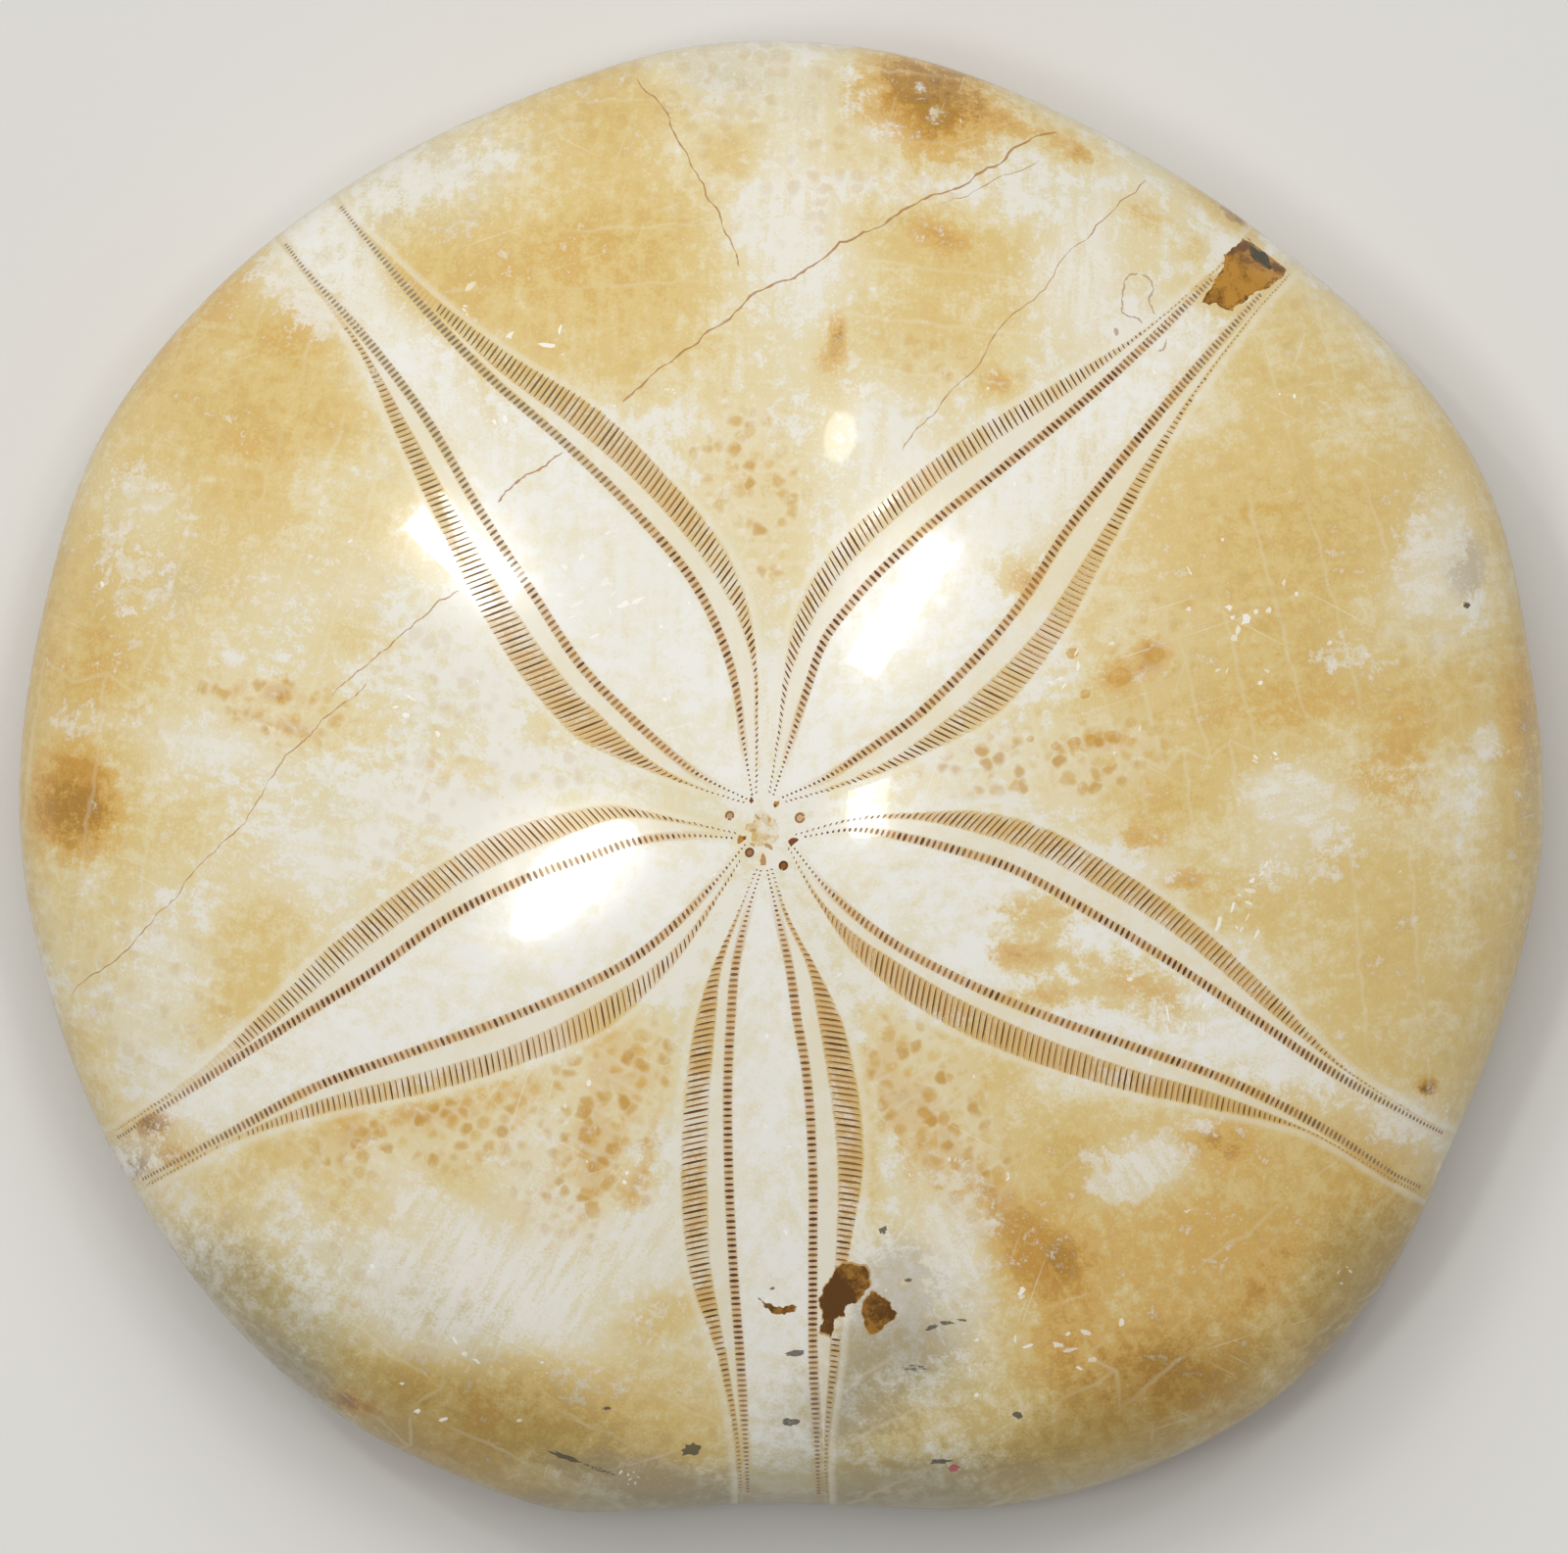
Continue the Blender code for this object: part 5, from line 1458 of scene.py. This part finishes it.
def mix(share, a, b, way="MIX"):
    node = nodes.new("ShaderNodeMix")
    node.data_type, node.blend_type = "RGBA", way
    feed(node.inputs["Factor"], share)
    feed(node.inputs[6], a)
    feed(node.inputs[7], b)
    return node.outputs[2]


scaled = nodes.new("ShaderNodeVectorMath")
scaled.operation = "SCALE"
scaled.inputs["Scale"].default_value = 1 / METRES_PER_MM
links.new(nodes.new("ShaderNodeTexCoord").outputs["Object"], scaled.inputs[0])
place_mm = scaled.outputs[0]
print("helpers ready")

# %% [markdown]
# ## Stone colours
#
# Under everything lies cream calcite, a little uneven.  Honey stains sit on it with
# ragged edges and a mottled inside.  The trick that makes the edge natural is to add
# noise of several sizes to the soft stain mask and only then cut it with a narrow step.
# One of these noises is fibrous and follows the plates, since the mineral did so too.

# %% Cream and honey
cloud = noise(0.22, 3.0, 0.6)
mottle = noise(0.9, 3.0, 0.7)
grain = noise(5.0, 1.0, 0.6)
plate_place = attribute("plates")["Vector"]
fibre = noise(1.0, 2.0, 0.6, stretched(plate_place, (0.8, 5.0, 9.0)))
drift, patchy, up = number("drift"), number("patchy"), number("on_top")

uneven = plus(swing(cloud, 0.9), swing(mottle, 1.2), swing(grain, 0.5))
uneven = plus(uneven, swing(fibre, 0.5))
cream = mix(step_up(plus(patchy, uneven), 0.30, 0.75), "E5E1D4", "DCD3B2")
below = times(less(1.0, up), step_up(drift, 0.45, 0.60), 0.8)
honeyed = calc("MAXIMUM", number("honey"), below)
honeyed = plus(honeyed, times(less(patchy, 0.42), 0.45), uneven)
wash = step_up(honeyed, 0.06, 0.46)
full = step_up(honeyed, 0.40, 0.86)
deep = step_up(honeyed, 0.82, 1.30)
stone = mix(times(wash, 0.80), cream, "DFCD9A")
stone = mix(times(full, 0.85), stone, "D8BC78")
stone = mix(times(deep, 0.80), stone, "CCA656")

# %% [markdown]
# The other stains follow in the order in which they cover each other.  The petals are
# whiter inside than the fields.  Last, the painted shade is multiplied in, which keeps
# what lies under it, and the darker painted shade at the notch edge is laid over everything.

# %% Ochre, brown, grey and pale places
ochred = plus(number("ochre"), times(uneven, 0.9))
stone = mix(times(step_up(ochred, 0.28, 0.62), 0.70), stone, "D5AB5E")
stone = mix(times(step_up(ochred, 0.60, 1.00), 0.75), stone, "BE8A34")
browned = plus(number("brown"), times(uneven, 0.9))
stone = mix(times(step_up(browned, 0.30, 0.60), 0.70), stone, "A67B36")
stone = mix(times(step_up(browned, 0.62, 0.95), 0.75), stone, "80561F")
greyed = plus(number("grey"), times(uneven, 0.8))
stone = mix(times(step_up(greyed, 0.25, 0.85), 0.55), stone, "B3A898")
paled = plus(number("pale"), times(uneven, 1.7))
pale_stone = mix(step_up(plus(fibre, swing(grain, 0.6)), 0.42, 0.68), "E9E5DB", "E0D6B8")
stone = mix(times(step_up(paled, 0.28, 0.78), 0.85), stone, pale_stone)
in_petal = times(step_down(number("into_petal"), -0.9, 0.3), up)
whitened = times(in_petal, less(0.8, times(step_up(honeyed, 0.3, 0.7), 0.7)))
stone = mix(whitened, stone, mix(step_up(uneven, -0.2, 0.35), "EAE8E1", "E3DCC2"))
# Painted shade, multiplied into the colour, weaker on the underside.
painted_shade_share = step_up(plus(number("dim"), times(uneven, 0.4)), 0.10, 0.90)
painted_shade_share = times(painted_shade_share, plus(0.35, times(up, 0.50)))
stone = mix(painted_shade_share, stone, "C9C1A2", "MULTIPLY")
# Painted shade of the notch edge, laid over everything on the dome.
notch_shade_share = step_up(plus(number("grime"), times(uneven, 0.5)), 0.2, 0.8)
stone = mix(times(notch_shade_share, up, 0.45), stone, "8F8468")
print("stone colours mixed")

# %% [markdown]
# ## Plates and tubercles
#
# A living urchin's shell is a mosaic of plates with tubercles for its spines.  After
# polishing, both survive as faint colour: pale joints, and ochre cells between them.
# Plate joints come from the plate numbers: a zigzag down the middle of each field, and
# cross joints on either side of it.  Tubercles are round cells between the joints, each
# with a tone of its own, and they show where the "cobbles" are strong.

# %% Joints
across_mm, outward_mm, plate_row = vector_parts("plates")
wander = swing(noise(0.45, 1.0), 1.0)
zigzag = times(less(calc("PINGPONG", plate_row, 0.5), 0.25), 2.4)
middle_line = plus(across_mm, zigzag, times(wander, 0.6))
other_side = calc("GREATER_THAN", middle_line, 0.0)
bowed = times(calc("ABSOLUTE", across_mm), 0.02)
row_here = plus(plate_row, times(other_side, 0.5), bowed, times(wander, 0.22))
cross_mm = times(calc("PINGPONG", row_here, 0.5), calc("MULTIPLY", outward_mm, 0.075))
on_middle = step_down(calc("ABSOLUTE", middle_line), 0.02, 0.26)
on_cross = step_down(cross_mm, 0.0, 0.18)
joint = calc("MAXIMUM", on_middle, on_cross)
inner_mm, band_in_mm, band_out_mm = vector_parts("row_mm")
count, along_mm, gilt = vector_parts("row_place")
in_field = step_up(band_out_mm, 0.4, 1.4)
joint_seen = step_up(plus(patchy, times(number("cobbles"), 0.3), times(uneven, 0.5)), 0.38, 0.72)
stone = mix(times(joint, joint_seen, in_field, 0.30), stone, "E4DBBE")

# %% Tubercles
nudging = nodes.new("ShaderNodeTexNoise")
nudging.inputs["Scale"].default_value = 0.9
nudging.inputs["Detail"].default_value = 1.0
links.new(place_mm, nudging.inputs["Vector"])
nudged = nodes.new("ShaderNodeVectorMath")
nudged.operation = "ADD"
links.new(plate_place, nudged.inputs[0])
links.new(nudging.outputs["Color"], nudged.inputs[1])
flattened = stretched(nudged.outputs[0], (1.05, 1.05, 1000.0))
tubercles = cells(flattened, 0.7)
cell_tone = nodes.new("ShaderNodeSeparateColor")
links.new(tubercles["Color"], cell_tone.inputs[0])
round_spot = step_down(plus(tubercles["Distance"], times(uneven, 0.35)), 0.26, 0.62)
cobbled = step_up(plus(number("cobbles"), times(uneven, 0.7)), 0.20, 0.90)
chosen = step_up(cell_tone.outputs[0], 0.05, 0.60)
cobble = mix(cell_tone.outputs[1], "BF8F3E", "D2AE6A")
stone = mix(times(cobbled, less(1.0, round_spot), in_field, 0.45), stone, "E4DABC")
stone = mix(times(cobbled, round_spot, chosen, in_field, 0.75), stone, cobble)
faint = times(round_spot, step_up(drift, 0.42, 0.62), in_field, step_up(cell_tone.outputs[1], 0.3, 0.8))
stone = mix(times(faint, 0.25), stone, "C29A50")
print("plates and tubercles drawn")

# %% [markdown]
# ## Scratches
#
# Polish shows wear as thin pale lines.  A scratch is noise that is stretched a hundred
# times in one direction and cut high; a few turns of it are enough to look random.

# %% Scratches
SCRATCH_TURNS = (18, 71, 152)
scratches = 0.0
for turn in SCRATCH_TURNS:
    streak = noise(1.0, 1.0, 0.5, stretched(place_mm, (16.0, 0.2, 4.0), turn, (turn, 3.7, 0)))
    scratches = plus(scratches, step_up(streak, 0.71, 0.80))
scratches = times(scratches, step_up(number("row_tone"), 0.42, 0.62), up)
stone = mix(times(scratches, 0.35), stone, "EFEADC")
print("wear added")

# %% [markdown]
# ## Bands, pores and mineral
#
# In each outer band a slit alternates with a golden strip and a cream one, so the count
# of slits along the band drives the colour.  Some petals are gilded more than others, and
# all fade toward the margin.  The pores themselves are dark red-brown, some filled with
# ochre.  Last come the cracks, the patches and the small marks, which cover the rest.

# %% Bands
in_band = times(step_up(band_in_mm, -0.10, 0.04), step_down(band_out_mm, -0.10, 0.08))
in_band = times(in_band, step_up(along_mm, 0.5, 4.0), up)
band_edge = times(step_up(band_out_mm, 0.04, 0.16), step_down(band_out_mm, 0.30, 0.80))
between = times(step_up(inner_mm, 0.36, 0.48), step_down(band_in_mm, -0.12, -0.02))
grown = times(up, step_up(along_mm, 1.0, 3.0))
stone = mix(times(band_edge, grown, 0.45), stone, "E6DFCA")
stone = mix(times(between, grown, 0.65), stone, "E4DCC6")

in_step = calc("FRACT", plus(count, 0.5))
golden = times(step_up(in_step, 0.50, 0.56), step_down(in_step, 0.86, 1.0))
golden = calc("MAXIMUM", golden, times(step_down(in_step, 0.14, 0.42), 0.75))
gilding = plus(number("row_tone"), times(uneven, 0.8), times(number("honey"), 0.3))
gilding = step_up(gilding, 0.22, 0.68)
faded = step_down(number("outward"), 0.70, 0.95)
gilding = times(gilding, plus(0.3, times(faded, 0.7)), gilt)
stone = mix(times(in_band, plus(0.2, times(gilding, 0.4))), stone, "DDC48A")
stone = mix(times(in_band, golden, plus(0.15, times(gilding, 0.65))), stone, "C2964A")

beside_pores = step_down(calc("ABSOLUTE", inner_mm), 0.25, 0.42)
beside_pores = times(beside_pores, up, step_up(along_mm, 1.0, 6.0))
stone = mix(times(beside_pores, plus(0.15, times(faded, 0.45))), stone, "C69E5E")

# %% Pores and slits
tone = number("tone")
darker = swing(number("row_tone"), 1.4)
pore_fill = mix(step_up(plus(tone, darker), 0.10, 0.95), "5F3616", "A3733A")
slit_fill = mix(step_up(plus(tone, darker), 0.10, 1.00), "5A3414", "9C6C34")
greenish = times(number("green_petal"), step_up(along_mm, 16.0, 30.0))
pore_fill = mix(times(greenish, 0.7), pore_fill, "7F7F66")
slit_fill = mix(times(greenish, 0.5), slit_fill, "75704F")
pore_fill, slit_fill = (
    mix(times(less(1.0, faded), 0.6), fill, "A89A86") for fill in (pore_fill, slit_fill)
)
stone = mix(number("pore"), stone, pore_fill)
stone = mix(number("slit"), stone, slit_fill)
stone = mix(number("egg_pore"), stone, mix(tone, "5C2E06", "9A7048"))
stone = mix(number("egg_floor"), stone, mix(tone, "8E5410", "CDA578"))

# %% Marks
stone = mix(times(number("crack"), step_up(plus(mottle, tone), 0.55, 1.1), 0.9), stone, "A97A45")
patch_fill = mix(step_up(plus(cloud, times(uneven, 0.8)), 0.35, 0.75), "5F3D12", "A0702A")
stone = mix(times(number("patch_rim"), 0.8), stone, "B48A40")
stone = mix(number("patch"), stone, patch_fill)
golden_fill = mix(step_up(plus(cloud, times(uneven, 0.8)), 0.28, 0.70), "7E5218", "B98636")
golden_edge = mix(step_up(plus(mottle, uneven), 0.30, 0.75), "6E4412", golden_fill)
stone = mix(number("golden_edge"), stone, golden_edge)
stone = mix(number("golden_patch"), stone, golden_fill)
green_mark = mix(step_up(plus(mottle, uneven), 0.25, 0.6), golden_edge, "3A3A26")
stone = mix(number("green_mark"), stone, green_mark)
stone = mix(times(number("violet"), step_up(plus(mottle, tone), 0.5, 0.9), 0.8), stone, "B3947C")
stone = mix(times(number("speck"), step_up(plus(grain, tone), 0.45, 1.0), 0.85), stone, "504B40")
stone = mix(times(number("sieve"), plus(0.15, times(step_up(uneven, -0.10, 0.30), 0.75))), stone, "C9A55C")
stone = mix(times(number("root"), plus(0.7, times(tone, 0.3))), stone, "B07A2A")
stone = mix(number("dark_root"), stone, "7A4012")
blotted = plus(0.35, times(step_up(uneven, -0.25, 0.25), 0.5))
stone = mix(times(number("tubercle"), blotted), stone, "CA9A42")
stone = mix(times(number("red_speck"), 0.8), stone, "B0455A")
stone = mix(times(number("chip"), plus(0.45, times(tone, 0.5))), stone, "F4F1EA")
print("rows and marks coloured")

# %% [markdown]
# ## Polish and fine relief
#
# Polished calcite is a glassy surface over a slightly milky body.  A clear coat over a
# rougher base gives both: sharp lamps with a soft glow round them.  The pits, cracks and
# patches stay dull, and so does the margin, which a polishing wheel hardly reaches.  A
# very low bump breaks the mirror as a hand polish does.

# %% Finish the material
dull = plus(number("crack"), number("pore"), number("slit"), number("egg_pore"), number("chip"))
roughness = plus(0.17, times(uneven, 0.08), times(full, 0.03), times(dull, 0.35))
roughness = plus(roughness, times(scratches, 0.10), times(number("patch"), 0.12))
roughness = plus(roughness, times(step_up(number("outward"), 0.93, 1.0), 0.30))
relief = plus(times(noise(0.35, 1.0), 0.015), times(noise(2.5, 1.0), 0.0012))
bump_node = nodes.new("ShaderNodeBump")
bump_node.inputs["Distance"].default_value = METRES_PER_MM
bump_node.inputs["Strength"].default_value = 1.0
feed(bump_node.inputs["Height"], relief)

shader = nodes.new("ShaderNodeBsdfPrincipled")
feed(shader.inputs["Base Color"], stone)
feed(shader.inputs["Roughness"], roughness)
links.new(bump_node.outputs["Normal"], shader.inputs["Normal"])
shader.inputs["IOR"].default_value = 1.55
shader.inputs["Specular IOR Level"].default_value = 0.4
shader.inputs["Coat Weight"].default_value = 0.35
shader.inputs["Coat Roughness"].default_value = 0.03
shader.inputs["Coat IOR"].default_value = 1.5
surface = nodes.new("ShaderNodeOutputMaterial")
links.new(shader.outputs["BSDF"], surface.inputs["Surface"])
mesh.materials.append(material)
print(len(nodes), "nodes in the material")

# %% [markdown]
# ## Camera
#
# The view is from straight above, as one looks at a fossil on a table.  A long lens far
# away keeps the petals from bulging toward the viewer.

# %% Camera
CAMERA_DISTANCE = 1.5
FRAME_WIDTH_MM = 113.15
SIDEWAYS_MM = 0.18
camera_data = bpy.data.cameras.new("camera")
camera = add_object("camera", camera_data)
camera_data.sensor_width = 36.0
camera_data.lens = 36.0 * CAMERA_DISTANCE / (FRAME_WIDTH_MM * METRES_PER_MM)
camera.location = (SIDEWAYS_MM * METRES_PER_MM, 0.0, CAMERA_DISTANCE + RIM_HEIGHT * METRES_PER_MM)
bpy.context.scene.camera = camera
print(f"lens {camera_data.lens:.0f} mm")

# %% [markdown]
# ## Lamps and floor
#
# A glossy dome shows every lamp as a bright shape, so lamps are placed by where their
# reflections should fall.  For a chosen point, the way down from the camera is mirrored
# about the surface there, and the lamp goes along that mirrored line.  One large soft
# lamp gives the even light.  It is kept out of the gloss, as a soft box behind a
# polariser would be, so that it doesn't veil the colours.  The rest of the light is a
# plain soft sky over a plain pale floor.

# %% Lamps
LAMP_DISTANCE = 0.9


def lamp(name, spot, width, height, power, turn=0.0, shape="RECTANGLE"):
    """A soft box whose reflection falls on a spot given in millimetres from the apex."""
    at = np.array([spot], float)
    normal = Vector(lean_of(at, upper_height, POLISH_STEP)[0])
    stands = Vector((*(at[0] + APEX), upper_height(at)[0])) * METRES_PER_MM
    seen_along = (stands - camera.location).normalized()
    mirrored = seen_along - 2 * seen_along.dot(normal) * normal
    light = bpy.data.lights.new(name, "AREA")
    light.shape, light.size, light.size_y = shape, width, height
    light.energy = power
    lamp_object = add_object(name, light)
    lamp_object.location = stands + mirrored * LAMP_DISTANCE
    facing = mirrored.to_track_quat("Z", "Y")
    lamp_object.rotation_euler = facing.to_euler()
    lamp_object.rotation_euler.rotate_axis("Z", np.radians(turn))
    print(name, [round(number, 2) for number in lamp_object.location])


lamp("window", (9.9, 16.4), 0.042, 0.14, 0.45)
lamp("second_window", (-21.4, 20.4), 0.035, 0.13, 0.50)
lamp("side_lamp", (-13.2, -2.6), 0.20, 0.085, 0.90, -45, "ELLIPSE")
lamp("small_lamp", (7.2, 1.6), 0.10, 0.05, 0.30)
lamp("top_glow", (5.4, 28.3), 0.05, 0.05, 0.08, 0, "ELLIPSE")

sun_data = bpy.data.lights.new("big_soft_lamp", "SUN")
sun_data.energy = 2.0
sun_data.angle = np.radians(70)
sun = add_object("big_soft_lamp", sun_data)
sun.rotation_euler = Vector((-0.12, 0.44, 1.0)).to_track_quat("Z", "Y").to_euler()
sun.visible_glossy = False

sky = bpy.data.worlds.new("soft sky")
sky.use_nodes = True
sky.node_tree.nodes["Background"].inputs["Color"].default_value = colour("F4F4F5")
sky.node_tree.nodes["Background"].inputs["Strength"].default_value = 0.21
bpy.context.scene.world = sky
bpy.context.scene.view_settings.view_transform = "Standard"

# %% Floor
floor_mesh = bpy.data.meshes.new("floor")
floor_mesh.from_pydata([(-3, -3, 0), (3, -3, 0), (3, 3, 0), (-3, 3, 0)], [], [(0, 1, 2, 3)])
floor = add_object("floor", floor_mesh)
floor_material = bpy.data.materials.new("pale_floor")
floor_material.use_nodes = True
floor_shader = floor_material.node_tree.nodes["Principled BSDF"]
floor_shader.inputs["Base Color"].default_value = colour("D8D6D2")
floor_shader.inputs["Roughness"].default_value = 0.8
floor_mesh.materials.append(floor_material)
